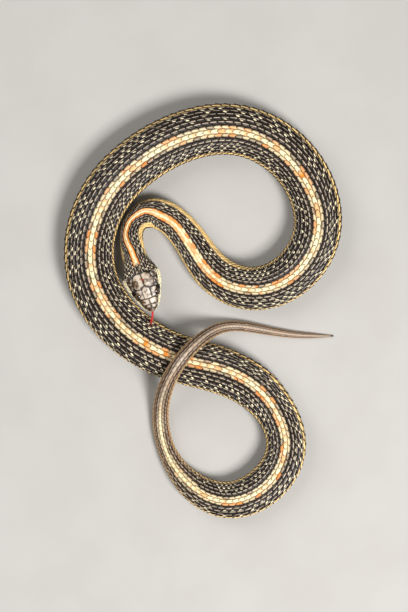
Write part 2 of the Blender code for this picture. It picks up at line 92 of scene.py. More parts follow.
# Form of a section: share of its depth at which it is widest, and powers of the superellipses above and below.
WIDEST_SHARE = 0.42
BACK_POWER = [(0, 2.2), (3, 2.45), (8, 2.2), (15, 2.35), (24, 2.1), (622, 2.1)]
BELLY_POWER = 2.7
BELLY_SINK = 0.035  # share by which the belly would reach under the floor, which presses it flat
# (station, share of the depth) of the mouth line.
MOUTH_SHARE = [(0, 0.5), (1.8, 0.42), (6, 0.35), (12, 0.31), (17, 0.36)]
JAW_SETBACK = 0.9  # of the lower jaw's tip behind the snout, mm
# Swellings and hollows of the head: station, degrees from the crown, reach along, reach round, height.
HEAD_FEATURES = [
    (8.3, 44, 2.3, 11, 0.42),
    (4.9, 66, 1.5, 14, -0.32),
    (14.6, 78, 3.2, 24, 0.35),
    (13.5, 20, 3.2, 14, 0.18),
    (17.5, 0, 3.5, 10, -0.2),
]
LIP_SWELL = 0.16  # along the mouth line, mm
BELLY_EDGE = math.radians(118)  # turn from the back to the edge of the belly plates

# Station, distance from the middle and level over the floor, mm.
EYE_STATION, EYE_SIDE, EYE_LEVEL, EYE_RADIUS = 8.1, 3.8, 13.0, 1.7
NOSTRIL_STATION, NOSTRIL_SIDE, NOSTRIL_LEVEL = 2.1, 2.72, 12.0

# Distance ahead of the snout, distance from the middle and level, mm.
TONGUE_ROOT = (-1.2, 0, 10.75)
TONGUE_LIP = (1.6, -0.15, 10.9)
TONGUE_FORK = (4.0, -1.8, 12.8)
TONGUE_TIPS = ((6.3, -3.9, 16.2), (7.1, -2.2, 16.2))

# Corners of the head's plates, (station, degrees from the crown). LIP stands for the turn of the mouth line.
LIP = 999
CROWN_PLATES = {
    "internasal": [(1.45, 0), (1.2, 27), (1.9, 40), (3.1, 37), (3.1, 0)],
    "prefrontal": [(3.1, 0), (3.1, 37), (3.7, 49), (5.2, 47), (5.9, 34), (5.75, 16), (5.6, 0)],
    "supraocular": [(5.8, 17), (6.05, 35), (7.0, 43), (8.5, 45), (10.0, 40), (10.35, 29), (10.2, 14), (7.6, 16)],
    "parietal": [(11.4, 0), (10.7, 9), (10.2, 15), (10.4, 29), (11.4, 35), (13.2, 35), (15.2, 29), (16.7, 20),
                 (17.2, 10), (16.8, 0)],
}
SIDE_PLATES = {
    "nasal_front": [(0.95, 52), (1.2, 30), (1.95, 41), (1.95, 74), (0.9, 76)],
    "nasal_back": [(1.95, 41), (3.2, 38), (3.7, 50), (3.7, 73), (1.95, 74)],
    "loreal": [(3.7, 50), (5.2, 48), (5.1, 72), (3.7, 73)],
    "preocular": [(5.2, 48), (5.9, 37), (6.4, 46), (6.1, 58), (6.3, 71), (5.1, 72)],
    "postocular_upper": [(10.15, 42), (11.4, 36), (11.8, 49), (10.4, 51)],
    "postocular_middle": [(10.4, 51), (11.8, 49), (11.9, 60), (10.3, 61)],
    "postocular_lower": [(10.3, 61), (11.9, 60), (11.8, 71), (9.9, 73)],
    "temporal_front": [(11.6, 37), (14.0, 35), (14.4, 53), (14.0, 69), (11.7, 71)],
    "temporal_upper": [(14.0, 35), (16.2, 26), (17.2, 42), (14.4, 53)],
    "temporal_lower": [(14.4, 53), (17.2, 42), (17.5, 62), (14.0, 69)],
}
# Halves of the plates that cross the middle.
MIDDLE_PLATES = {
    "rostral": [(-0.5, LIP), (0.85, LIP), (0.95, 60), (1.2, 27), (1.45, 0)],
    "frontal": [(5.6, 0), (5.8, 17), (7.6, 16), (9.8, 14), (10.7, 9), (11.4, 0)],
}
# Stations of the seams between lip plates, and the turns of the plates' far edges.
UPPER_LIP_EDGES = (0.9, 2.6, 4.3, 6.2, 8.3, 10.4, 13.0, 16.7)
UPPER_LIP_TOP = [(0.9, 76), (5, 73), (8, 77), (11, 72), (16.5, 67)]
LOWER_LIP_EDGES = (2.1, 3.8, 5.6, 7.8, 10.4, 13.4, 16.6)
LOWER_LIP_BOTTOM = 117
CHIN_SHIELDS = [
    [(2.6, 180), (2.3, 160), (6.7, 149), (7.3, 180)],
    [(7.3, 180), (6.9, 149), (11.7, 145), (12.4, 160), (10.6, 180)],
]


def spline(points, samples=6000):
    """Natural cubic spline: on each span, (m0 a^3 + m1 b^3)/6h + (p0/h - m0 h/6) a + (p1/h - m1 h/6) b,
    where a and b are the distances to the span's ends and m the bends that make slopes meet."""
    points = np.asarray(points, float)
    knots = np.concatenate([[0], np.cumsum(np.linalg.norm(np.diff(points, axis=0), axis=1))])
    step = np.diff(knots)
    inner = np.diag(2 * (step[:-1] + step[1:])) + np.diag(step[1:-1], 1) + np.diag(step[1:-1], -1)
    slope = np.diff(points, axis=0) / step[:, None]
    bend = np.zeros_like(points)
    bend[1:-1] = np.linalg.solve(inner, 6 * np.diff(slope, axis=0))
    at = np.linspace(0, knots[-1], samples)
    k = np.clip(np.searchsorted(knots, at) - 1, 0, len(knots) - 2)
    h, a, b = step[k][:, None], (knots[k + 1] - at)[:, None], (at - knots[k])[:, None]
    return (
        (bend[k] * a**3 + bend[k + 1] * b**3) / (6 * h)
        + (points[k] / h - bend[k] * h / 6) * a
        + (points[k + 1] / h - bend[k + 1] * h / 6) * b
    )


COURSE = spline(HEAD_AND_NECK + GREAT_LOOP + HIND_LOOP + TAIL_END) + np.array(CENTRE_SHIFT)
RUN = np.concatenate([[0], np.cumsum(np.linalg.norm(np.diff(COURSE, axis=0), axis=1))])


def ease(stations, s):
    """Cubic through (station, value) pairs whose slopes are harmonic means, so it never overshoots."""
    x, y = np.array(stations, float).T
    slope = np.diff(y) / np.diff(x)
    tangent = np.zeros(len(x))
    same = slope[:-1] * slope[1:] > 0
    tangent[1:-1][same] = 2 / (1 / slope[:-1][same] + 1 / slope[1:][same])
    tangent[0], tangent[-1] = slope[0], slope[-1]
    s = np.clip(s, x[0], x[-1])
    k = np.clip(np.searchsorted(x, s, side="right") - 1, 0, len(x) - 2)
    h = x[k + 1] - x[k]
    t = (s - x[k]) / h
    return (
        y[k] * (1 + 2 * t) * (1 - t) ** 2 + tangent[k] * h * t * (1 - t) ** 2
        + y[k + 1] * t * t * (3 - 2 * t) + tangent[k + 1] * h * t * t * (t - 1)
    )


def smooth(a, b, s):
    """0 at a, 1 at b, 3t^2 - 2t^3 between."""
    t = np.clip((s - a) / (b - a), 0, 1)
    return t * t * (3 - 2 * t)


def bump(distance, reach):
    """Bell exp(-(d/r)^2)."""
    return np.exp(-((distance / reach) ** 2))


def lift(s):
    """Height of the underside over the floor: the table, and a bell exp(-(d/r)^p) where the tail crosses; mm."""
    rise = CROSSING_RISE * np.exp(-np.abs((s - CROSSING) / CROSSING_REACH) ** CROSSING_SHAPE)
    return ease(UNDERSIDE, s) + np.where(s > VENT, rise, 0)


def depth(s):
    """Crown less underside on the head, width times its share behind it, eased from one to the other; mm."""
    head = ease(CROWN, s) - ease(UNDERSIDE, s)
    mix = smooth(19, 27, s)
    return head * (1 - mix) + ease(WIDTHS, s) * ease(DEPTH_SHARE, s) * mix


def place(s):
    """Underside point of the course at each station, mm."""
    return np.stack([np.interp(s, RUN, COURSE[:, 0]), np.interp(s, RUN, COURSE[:, 1]), lift(s)], -1)


def frames(s):
    """Underside point, direction to the left and direction of the back at each station; the head lies level."""
    at = np.clip(s, 0.5, RUN[-1] - 0.5)
    ahead = place(at + 0.25) - place(at - 0.25)
    ahead[..., 2] *= s > HEAD_BACK + 2
    ahead /= np.linalg.norm(ahead, axis=-1, keepdims=True)
    left = np.cross(ahead, [0, 0, 1])
    left /= np.linalg.norm(left, axis=-1, keepdims=True)
    return place(s), left, np.cross(left, ahead)


def round_by(turn):
    """Turn away from the midline of the back, 0 to pi, the same on both sides."""
    return np.abs((turn + np.pi) % (2 * np.pi) - np.pi)


def outline(s, turn):
    """Section: side = a sin^(2/n), height = c + b cos^(2/n), with another n below the widest level; mm.

    The mouth line and the head's features push it out by bells of the distance from their middle.
    """
    half, tall = ease(WIDTHS, s) / 2, depth(s)
    low = WIDEST_SHARE * (1 + BELLY_SINK * smooth(44, 52, s))
    sine, cosine = np.sin(turn), np.cos(turn)
    back = ease(BACK_POWER, s)
    side = half * np.sign(sine) * np.abs(sine) ** (2 / np.where(cosine > 0, back, BELLY_POWER))
    upper = WIDEST_SHARE + (1 - WIDEST_SHARE) * np.abs(cosine) ** (2 / back)
    lower = WIDEST_SHARE - low * np.abs(cosine) ** (2 / BELLY_POWER)
    height = np.where(cosine > 0, upper, lower) * tall
    angle = np.degrees(round_by(turn))
    push = LIP_SWELL * bump(angle - 88, 9) * smooth(0, 2, s) * smooth(18, 15, s)
    for station, at, along, spread, amount in HEAD_FEATURES:
        push = push + amount * bump(s - station, along) * bump(angle - at, spread)
    return side + push * sine, height + push * cosine


def above_floor(points, least=0):
    """Lifts what lies lower up to a level, mm."""
    points[..., 2] = np.maximum(points[..., 2], least)
    return points


def to_world(s, side, height):
    """Leans a section over by the roll, stands it on the course and keeps it above the floor; mm."""
    foot, left, up = frames(s)
    middle = 0.5 * depth(s)
    lean = np.radians(ease(ROLL, s))
    across = side * np.cos(lean) - (height - middle) * np.sin(lean)
    above = side * np.sin(lean) + (height - middle) * np.cos(lean) + middle
    points = foot + left * across[..., None] + up * above[..., None]
    return above_floor(points)


def surface(s, turn):
    """Point of the outer form at a station and a turn from the midline of the back, mm."""
    return to_world(s, *outline(s, turn))


def lip_turn(s):
    """Turn in radians at which the side of the head meets the mouth line: arccos(u^(n/2) - d^(m/2)).

    u is how far the line lies over the widest level, as a share of the depth over it, d the same under it,
    and n and m are the section's powers above and below.
    """
    share = ease(MOUTH_SHARE, s)
    up = np.clip((share - WIDEST_SHARE) / (1 - WIDEST_SHARE), 0, 1) ** (ease(BACK_POWER, s) / 2)
    down = np.clip((WIDEST_SHARE - share) / WIDEST_SHARE, 0, 1) ** (BELLY_POWER / 2)
    return np.arccos(up - down)


# Chart of the distance round each section, mm, and of the turn at each share of the way to the belly plates.
CHART_S = np.concatenate([np.arange(0.2, 30, 1.0), np.arange(30, TIP + 1, 4.0)])
CHART_TURN = np.linspace(0, np.pi, 181)
CHART_SIDE, CHART_HEIGHT = outline(*np.meshgrid(CHART_S, CHART_TURN, indexing="ij"))
CHART_ARC = np.cumsum(np.hypot(np.diff(CHART_SIDE, axis=1), np.diff(CHART_HEIGHT, axis=1)), axis=1)
CHART_ARC = np.concatenate([np.zeros((len(CHART_S), 1)), CHART_ARC], axis=1)
CHART_HALF = np.array([np.interp(BELLY_EDGE, CHART_TURN, arc) for arc in CHART_ARC])
CHART_Q = np.linspace(0, 1.4, 141)
CHART_BACK = np.array([np.interp(CHART_Q * half, arc, CHART_TURN) for half, arc in zip(CHART_HALF, CHART_ARC)])


def half_round(s):
    """Distance in mm round the skin from the midline of the back to the edge of the belly plates."""
    return np.interp(s, CHART_S, CHART_HALF)


# (station, shift) of the rows toward the animal's right, as a share of the half-round: on the back and on each side
BACK_OVER = [
    (0, 0), (22, 0), (31, 0.04), (36, 0), (42, -0.07), (52, -0.07), (60, -0.05), (72, -0.1), (92, -0.09),
    (105, -0.05), (120, -0.05), (148, 0), (175, 0.085), (280, 0.085), (302, 0.055), (322, 0.03), (342, 0.01),
    (365, 0), (390, 0.05), (407, 0.03), (422, -0.02), (437, -0.04), (452, -0.01), (465, 0), (482, 0.02),
    (492, 0.01), (505, 0.05), (560, 0), (622, 0),
]
LEFT_OVER = [
    (0, 0), (22, 0), (25, -0.05), (35, -0.06), (50, -0.07), (100, -0.07), (120, -0.03), (140, 0.06), (155, 0.11),
    (300, 0.11), (322, 0.03), (342, -0.05), (360, -0.08), (378, 0), (400, -0.01), (425, -0.01), (460, -0.02),
    (482, 0), (622, 0),
]
RIGHT_OVER = [
    (0, 0), (22, 0), (25, -0.05), (35, -0.08), (50, -0.08), (100, -0.07), (120, -0.04), (140, 0.01), (322, 0.01),
    (342, 0), (360, -0.05), (378, 0.03), (400, -0.08), (425, -0.09), (445, 0.03), (475, 0.04), (490, 0), (622, 0),
]


def set_over(s, q):
    """Shift of the row at q: the back's in the middle, its own side's beyond a half, and none at the belly."""
    flank = smooth(0.2, 0.55, np.abs(q))
    side = np.where(q > 0, ease(LEFT_OVER, s), ease(RIGHT_OVER, s))
    return (ease(BACK_OVER, s) * (1 - flank) + side * flank) * np.clip((1 - np.abs(q)) / 0.3, 0, 1)


def turn_of(s, q):
    """Turn at the share q of that distance, negative q on the animal's right, shifted and bilinear in the chart."""
    q = q - set_over(s, q)
    i = np.clip(np.searchsorted(CHART_S, s) - 1, 0, len(CHART_S) - 2)
    fi = np.clip((s - CHART_S[i]) / (CHART_S[i + 1] - CHART_S[i]), 0, 1)
    x = np.clip(np.abs(q), 0, CHART_Q[-1]) / (CHART_Q[1] - CHART_Q[0])
    j = np.clip(x.astype(int), 0, len(CHART_Q) - 2)
    fj = x - j
    low = CHART_BACK[i, j] * (1 - fj) + CHART_BACK[i, j + 1] * fj
    high = CHART_BACK[i + 1, j] * (1 - fj) + CHART_BACK[i + 1, j + 1] * fj
    return np.sign(q) * (low * (1 - fi) + high * fi)


# Length of one belly plate, and of one back scale, along the body.
PITCH = [(17, 1.75), (26, 2.0), (45, 2.4), (110, 2.95), (240, 3.35), (400, 3.2), (485, 2.7), (540, 2.25), (622, 1.0)]
PLATE_AT = np.linspace(15, TIP, 3000)
PLATE_NUMBER = np.cumsum(np.diff(PLATE_AT) / ease(PITCH, (PLATE_AT[1:] + PLATE_AT[:-1]) / 2))
PLATE_NUMBER = np.concatenate([[0], PLATE_NUMBER])


def plate_count(s):
    """Number of plates up to a station: the sum of ds / pitch."""
    return np.interp(s, PLATE_AT, PLATE_NUMBER)


def plate_station(count):
    """Station of a plate's front edge from its number."""
    return np.interp(count, PLATE_NUMBER, PLATE_AT)


def make_mesh(name, points, faces, attributes, smooth_faces=True):
    """Mesh from an (n, 3) array in mm and an (m, 4) array of corners, where a repeated last corner is a triangle."""
    mesh = bpy.data.meshes.new(name)
    used = np.ones(faces.shape, bool)
    used[:, 3] = faces[:, 2] != faces[:, 3]
    size = used.sum(1)
    corners = faces[used]
    mesh.vertices.add(len(points))
    mesh.vertices.foreach_set("co", (points * MM).astype(np.float32).ravel())
    mesh.loops.add(len(corners))
    mesh.loops.foreach_set("vertex_index", corners.astype(np.int32))
    mesh.polygons.add(len(faces))
    mesh.polygons.foreach_set("loop_start", (np.cumsum(size) - size).astype(np.int32))
    mesh.update(calc_edges=True)
    mesh.polygons.foreach_set("use_smooth", np.full(len(faces), smooth_faces))
    for key, values in attributes.items():
        layer = mesh.attributes.new(key, "FLOAT", "POINT")
        layer.data.foreach_set("value", values.astype(np.float32).ravel())
    mesh.validate()
    return mesh


def add_piece(name, mesh, material, replaces=()):
    """Links a mesh as a piece that rides on the still body."""
    piece = bpy.data.objects.new(name, mesh)
    bpy.context.scene.collection.objects.link(piece)
    mesh.materials.append(material)
    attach(piece, "root")
    if replaces:
        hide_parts(*replaces)
    return piece


def outward(points):
    """Unit normals of a grid whose first axis runs along the body and second round it."""
    along = np.gradient(points, axis=0)
    around = np.roll(points, -1, axis=1) - np.roll(points, 1, axis=1)
    normal = np.cross(around, along)
    return normal / np.maximum(np.linalg.norm(normal, axis=-1, keepdims=True), 1e-9)


def grid_faces(rows, columns, start=0, closed=True):
    """Corners of the quads of a grid, closed round its second axis or open, facing outwards."""
    i, j = np.meshgrid(np.arange(rows - 1), np.arange(columns if closed else columns - 1), indexing="ij")
    k = (j + 1) % columns
    quads = np.stack([i * columns + j, (i + 1) * columns + j, (i + 1) * columns + k, i * columns + k], -1)
    return quads.reshape(-1, 4) + start


# Lanes of the bake map, each for a quarter of the length, and the margins at its ends and sides.
LANES, END_MARGIN, SIDE_MARGIN = 4, 0.02, 0.04


def lane_of(s):
    """Which of the bake map's lanes a station falls in."""
    return np.clip(np.floor(s / (TIP + 1) * LANES), 0, LANES - 1)


def unwrap(s, turn, lane):
    """Flat place of a point of the skin: four lanes along the body, each with the way round across it."""
    u = (s / (TIP + 1) * LANES - lane) * (1 - 2 * END_MARGIN) + END_MARGIN
    v = (lane + 0.5 + turn / (2 * np.pi) * (1 - 2 * SIDE_MARGIN)) / LANES
    return np.stack([u, v], -1)


def corners_of(mesh):
    """Number of the point at each corner of each face."""
    corner = np.empty(len(mesh.loops), np.int32)
    mesh.loops.foreach_get("vertex_index", corner)
    return corner


def set_bake_map(mesh, uv):
    """UV map that the textures are baked by, one value for each corner."""
    layer = mesh.uv_layers.new(name="OFBake")
    layer.data.foreach_set("uv", np.clip(uv, 0, 1).astype(np.float32).ravel())


def mirrored(corners):
    """The same plate on the animal's right."""
    return [(s, -turn) for s, turn in reversed(corners)]


def to_lip(corners):
    """Puts the turn of the mouth line in the place of LIP."""
    return [(s, float(np.degrees(lip_turn(np.array(max(s, 0.2))))) if turn == LIP else turn) for s, turn in corners]


IS_CROWN, IS_SIDE, IS_UPPER_LIP, IS_LOWER_LIP, IS_CHIN = range(5)


def plate_list():
    """Every head plate as (kind, corners)."""
    plates = []
    for kind, group in ((IS_CROWN, CROWN_PLATES), (IS_SIDE, SIDE_PLATES)):
        for corners in group.values():
            plates += [(kind, corners), (kind, mirrored(corners))]
    for kind, corners in zip((IS_UPPER_LIP, IS_CROWN), MIDDLE_PLATES.values()):
        corners = to_lip(corners)
        plates.append((kind, corners + [(s, -turn) for s, turn in reversed(corners) if turn]))
    for front, back in zip(UPPER_LIP_EDGES, UPPER_LIP_EDGES[1:]):
        top = [(s, float(ease(UPPER_LIP_TOP, np.array(s)))) for s in (front, back)]
        corners = [top[0], top[1], *to_lip([(back, LIP), (front, LIP)])]
        plates += [(IS_UPPER_LIP, corners), (IS_UPPER_LIP, mirrored(corners))]
    mental = [(-0.5, 80), *to_lip([(2.1, LIP)]), (2.1, 150), (2.5, 180), (2.1, 210), (2.1, 265), (-0.5, 280)]
    plates.append((IS_LOWER_LIP, mental))
    for front, back in zip(LOWER_LIP_EDGES, LOWER_LIP_EDGES[1:]):
        corners = [*to_lip([(front, LIP), (back, LIP)]), (back, LOWER_LIP_BOTTOM), (front, LOWER_LIP_BOTTOM)]
        plates += [(IS_LOWER_LIP, corners), (IS_LOWER_LIP, mirrored(corners))]
    for corners in CHIN_SHIELDS:
        plates += [(IS_CHIN, corners), (IS_CHIN, [(s, 360 - turn) for s, turn in reversed(corners)])]
    return plates


def plate_field(s, turn, along, around):
    """For each point: kind of the plate it lies on, or -1, and distance in mm to that plate's edge.

    Distance to a corner-to-corner edge is taken in the plane of (s, turn) stretched by the local
    millimetres per unit of s and of turn, with an even-odd count of crossings for inside.
    """
    kind = np.full(s.shape, -1.0)
    edge = np.zeros(s.shape)
    degrees = np.degrees(turn)
    for sort, corners in plate_list():
        corners = np.array(corners, float)
        low, high = corners.min(0), corners.max(0)
        angle = np.where(degrees < low[1] - 1, degrees + 360, degrees)
        near = (s >= low[0] - 0.01) & (s <= high[0] + 0.01) & (angle >= low[1]) & (angle <= high[1])
        if not near.any():
            continue
        x, y = s[near], angle[near]
        kx, ky = along[near], around[near] * np.pi / 180
        inside = np.zeros(x.shape, bool)
        best = np.full(x.shape, 99.0)
        for (ax, ay), (bx, by) in zip(corners, np.roll(corners, -1, axis=0)):
            if ay != by:
                inside ^= ((ay > y) != (by > y)) & (x < (bx - ax) * (y - ay) / (by - ay) + ax)
            ux, uy = (bx - ax) * kx, (by - ay) * ky
            vx, vy = (x - ax) * kx, (y - ay) * ky
            t = np.clip((ux * vx + uy * vy) / np.maximum(ux * ux + uy * uy, 1e-9), 0, 1)
            best = np.minimum(best, np.hypot(vx - t * ux, vy - t * uy))
        better = inside & (best > edge[near])
        index_of = np.flatnonzero(near.ravel())[better]
        kind.ravel()[index_of] = sort
        edge.ravel()[index_of] = best[better]
    return kind, edge


def head_point(station, side, level):
    """Point of the head from its station, its distance left of the middle and its level before it leans, mm."""
    at = np.array([max(station, 0.0)])
    point = to_world(at, np.array([float(side)]), level - lift(at))[0]
    return point + np.cross([0, 0, 1], frames(at)[1][0]) * min(station, 0.0)


def chance(*keys):
    """Fixed draw from 0 to 1 for each set of whole numbers: the fraction of a large sine."""
    total = sum(np.asarray(key, float) * factor for key, factor in zip(keys, (12.9898, 78.233, 37.719)))
    return np.mod(np.abs(np.sin(total) * 43758.5453), 1)


def linear(text):
    """sRGB hex to linear."""
    parts = [int(text[i : i + 2], 16) / 255 for i in (1, 3, 5)]
    return tuple(c / 12.92 if c <= 0.04045 else ((c + 0.055) / 1.055) ** 2.4 for c in parts)


def colour_setting(name, description, value):
    """A colour that a user may change, given as sRGB hex and kept linear."""
    return bpy.props.FloatVectorProperty(
        name=name, description=description, subtype="COLOR", size=3, min=0, max=1, default=linear(value)
    )


def length_setting(name, description, value):
    """A length that a user may change, given in mm and kept in metres."""
    return bpy.props.FloatProperty(name=name, description=description, default=value * MM, min=0, unit="LENGTH")


class SnakeSizes(bpy.types.PropertyGroup):
    """Heights of the relief, and how much of the floor the camera takes in"""

    coat: length_setting("Coat depth", "How far the skin lies inside the outer form under the scales", 0.3)
    scale_rise: length_setting("Scale rise", "Height of a back scale's free tip over the skin", 0.44)
    keel: length_setting("Keel", "Height of the ridge along each back scale", 0.18)
    plate_rise: length_setting("Plate rise", "Height of a head plate over its seams", 0.17)
    belly_step: length_setting("Belly step", "Height of a belly plate's free rear edge", 0.2)
    camera_height: length_setting("Camera height", "Height of the camera over the floor", 858)
    view_height: length_setting("View height", "Length of ground that the frame takes in", 269.3)


class SnakeColours(bpy.types.PropertyGroup):
    """Colours of skin, scales, eyes, tongue and floor"""

    black: colour_setting("Dark ground", "Skin and scale edges of the back", "#0D0906")
    brown: colour_setting("Dark scales", "Scales of the sides of the back", "#3F2A1B")
    # Partly the grey-brown of the scales beside the stripe, partly painted sheen on the top of the back.
    slate: colour_setting("Slate scales", "Grey-brown scales beside the stripe", "#4C4138")
    # Painted highlight: the pale keel colour stands in for light catching the ridge of each keel.
    keel: colour_setting("Keels", "Pale line along the keels", "#DCCBB6")
    cream: colour_setting("Stripe cream", "Middle of the stripe down the back", "#FFECBC")
    orange: colour_setting("Stripe orange", "Patches along the stripe down the back", "#EC8618")
    flank: colour_setting("Side stripe", "Stripe along each side", "#FFD78C")
    fleck: colour_setting("Flecks", "Pale marks between the side scales", "#FFF1C6")
    tail: colour_setting("Tail brown", "Sides of the tail", "#543A26")
    tail_stripe: colour_setting("Tail stripe", "Pale band along the top of the tail", "#B9A591")
    tail_edge: colour_setting("Tail edge", "Tawny lower edge of the tail", "#A8763A")
    belly: colour_setting("Belly", "Belly plates and chin", "#C6C3A2")
    crown: colour_setting("Crown", "Large plates on top of the head", "#C0B09C")
    crown_dark: colour_setting("Crown mottling", "Brown clouding of the crown plates", "#4A3219")
    cheek: colour_setting("Cheek", "Plates between crown and lip", "#38271A")
    lip: colour_setting("Lips", "Pale plates along the mouth", "#FFF3C8")
    rust: colour_setting("Rust spot", "Small spot where the parietal plates meet", "#A84A22")
    iris: colour_setting("Iris", "Ring round the pupil", "#6B4A24")
    tongue: colour_setting("Tongue", "Stem of the tongue", "#C8282A")
    floor: colour_setting("Floor", "Plain studio floor", "#B0ADA8")


def fill(tree, node, inputs):
    """Fills each input, named or numbered, with a value or with a link from another node's output."""
    for key, value in inputs.items() if isinstance(inputs, dict) else enumerate(inputs):
        if isinstance(value, bpy.types.NodeSocket):
            tree.links.new(value, node.inputs[key])
        else:
            node.inputs[key].default_value = value


def add(tree, kind, inputs=(), out=0, **settings):
    """Adds a node with its settings, fills its inputs and gives one of its outputs."""
    node = tree.nodes.new(f"ShaderNode{kind}")
    for key, value in settings.items():
        setattr(node, key, value)
    fill(tree, node, inputs)
    return node.outputs[out]


def laid_over(tree, tone, *coats):
    """Lays coats of colour over one another, each (share, colour); a colour is a setting or a node's output."""
    for share, coat in coats:
        under, over = (c if isinstance(c, bpy.types.NodeSocket) else (*c, 1) for c in (tone, coat))
        tone = add(tree, "Mix", {0: share, 6: under, 7: over}, 2, data_type="RGBA")
    return tone


def start_material(name, *marks):
    """New material: its tree, its shader, the adding of nodes to it, and the marks that it reads as attributes."""
    material = bpy.data.materials.new(name)
    material.use_nodes = True
    tree = material.node_tree
    read = {mark: add(tree, "Attribute", out="Fac", attribute_name=mark) for mark in marks}
    return material, tree, tree.nodes["Principled BSDF"], partial(add, tree), read


PLUS, LESS, TIMES, BY = ({"operation": kind} for kind in ("ADD", "SUBTRACT", "MULTIPLY", "DIVIDE"))
EASED = {"interpolation_type": "SMOOTHSTEP"}
BACK_MARKS = ("slate", "tail", "edge", "flank", "pale", "warm", "stripe")

# Middle and half size of the pale fleck on a scale: across toward the back (-1..1), then along (0..1).
FLECK_AT = (0.68, 0.7)
FLECK_REACH = (0.25, 0.13)


def marked_colour(tree, on, read, colours, *fine_marks):
    """Colour of back, sides and tail from the marks that skin and scales share."""
    grain = add(tree, "TexNoise", {"Vector": on, "Scale": 900, "Detail": 3})
    # The slate coat is partly the scales' grey and partly painted sheen beside the stripe.
    back = laid_over(
        tree, colours.black, (add(tree, "MapRange", (grain, 0.35, 0.7), **EASED), colours.brown),
        (read["slate"], colours.slate), (read["tail"], colours.tail), (read["edge"], colours.tail_edge),
        *fine_marks, (read["flank"], colours.flank),
    )
    stripe = laid_over(tree, colours.cream, (read["pale"], colours.tail_stripe), (read["warm"], colours.orange))
    return laid_over(tree, back, (read["stripe"], stripe))


def scale_material(colours):
    """Keratin, grown in overlapping keeled scales: dry and satin, each scale edged in black, with a painted highlight
    along the keel.
    """
    marks = (*BACK_MARKS, "upper", "along", "keel_line", "fleck", "seam")
    material, tree, shader, node, read = start_material("dry_keratin_scales", *marks)
    on = node("TexCoord", out="Object")
    upper, along = read["upper"], read["along"]
    wear = node("TexNoise", {"Vector": on, "Scale": 1500, "Detail": 2})
    aside = node("Math", (upper,), operation="ABSOLUTE")
    ragged = node("Math", (aside, node("MapRange", (wear, 0.3, 0.7, -0.06, 0.06), **EASED)), **PLUS)
    # Painted highlight: a pale line down the middle of each scale, where light would catch the keel.
    keel = (node("MapRange", (ragged, 0.2, 0.05), **EASED), node("MapRange", (along, 0.2, 0.4), **EASED))
    keel_glints = node("Math", (node("Math", keel, **TIMES), read["keel_line"]), **TIMES)
    leaning = node("Math", (along, node("Math", (upper, 0.12), **TIMES)), **PLUS)
    squares = []
    for place_on, middle, reach in zip((upper, leaning), FLECK_AT, FLECK_REACH):
        away = node("Math", (node("Math", (place_on, middle), **LESS), reach), **BY)
        squares.append(node("Math", (away, away), **TIMES))
    apart = node("Math", squares, **PLUS)
    apart = node("Math", (apart, node("MapRange", (wear, 0.3, 0.7, -0.25, 0.25), **EASED)), **PLUS)
    flecks = node("Math", (node("MapRange", (apart, 1.2, 0.8), **EASED), read["fleck"]), **TIMES)
    tone = marked_colour(tree, on, read, colours, (keel_glints, colours.keel), (flecks, colours.fleck))
    edges = (node("MapRange", (ragged, 0.5, 0.72), **EASED), node("MapRange", (along, 0.8, 0.9), **EASED))
    rim = node("Math", edges, **PLUS, use_clamp=True)
    rim = node("Math", (rim, node("Math", (1.0, flecks), **LESS)), **TIMES)
    rim = node("Math", (rim, read["seam"]), **TIMES)
    fine = node("TexNoise", {"Vector": on, "Scale": 5200, "Detail": 2})
    fill(tree, shader, {
        "Base Color": laid_over(tree, tone, (rim, colours.black)),
        "Roughness": node("MapRange", (fine, 0.3, 0.75, 0.32, 0.48), **EASED),
        "Specular IOR Level": 0.26,
        "Normal": node("Bump", {"Strength": 0.25, "Distance": 0.00008, "Height": fine}),
    })
    return material


def skin_material(colours):
    """Thin keratin over skin: matt and dark between the scales, smooth plates on head and belly with a soft shine."""
    marks = (*BACK_MARKS, "belly", "rim", "rust", "crown", "cheek", "lip", "seam")
    material, tree, shader, node, read = start_material("keratin_plates_and_skin", *marks)
    on = node("TexCoord", out="Object")
    cloud = node("TexNoise", {"Vector": on, "Scale": 520, "Detail": 4})
    mottle = node("TexNoise", {"Vector": on, "Scale": 1100, "Detail": 3})
    fine = node("TexNoise", {"Vector": on, "Scale": 4200, "Detail": 2})
    yellowed = node("MapRange", (cloud, 0.3, 0.75, 0, 0.35), **EASED)
    clouded = node("MapRange", (cloud, 0.42, 0.66), **EASED)
    dark = node("Math", (clouded, node("Math", (read["rim"], 0.75), **TIMES)), **PLUS, use_clamp=True)
    mottled = node("MapRange", (mottle, 0.48, 0.62, 0, 0.75), **EASED)
    stained = node("MapRange", (cloud, 0.45, 0.8, 0, 0.3), **EASED)
    tone = laid_over(
        tree, marked_colour(tree, on, read, colours),
        (read["belly"], laid_over(tree, colours.belly, (yellowed, colours.flank))),
        (read["crown"], laid_over(tree, colours.crown, (dark, colours.crown_dark), (read["rust"], colours.rust))),
        (read["cheek"], laid_over(tree, colours.cheek, (mottled, colours.crown))),
        (read["lip"], laid_over(tree, colours.lip, (stained, colours.flank))),
        (read["seam"], colours.black),
    )
    fill(tree, shader, {
        "Base Color": tone,
        "Roughness": node("MapRange", (fine, 0.3, 0.75, 0.32, 0.46), **EASED),
        "Normal": node("Bump", {"Strength": 0.2, "Distance": 0.00006, "Height": fine}),
    })
    return material


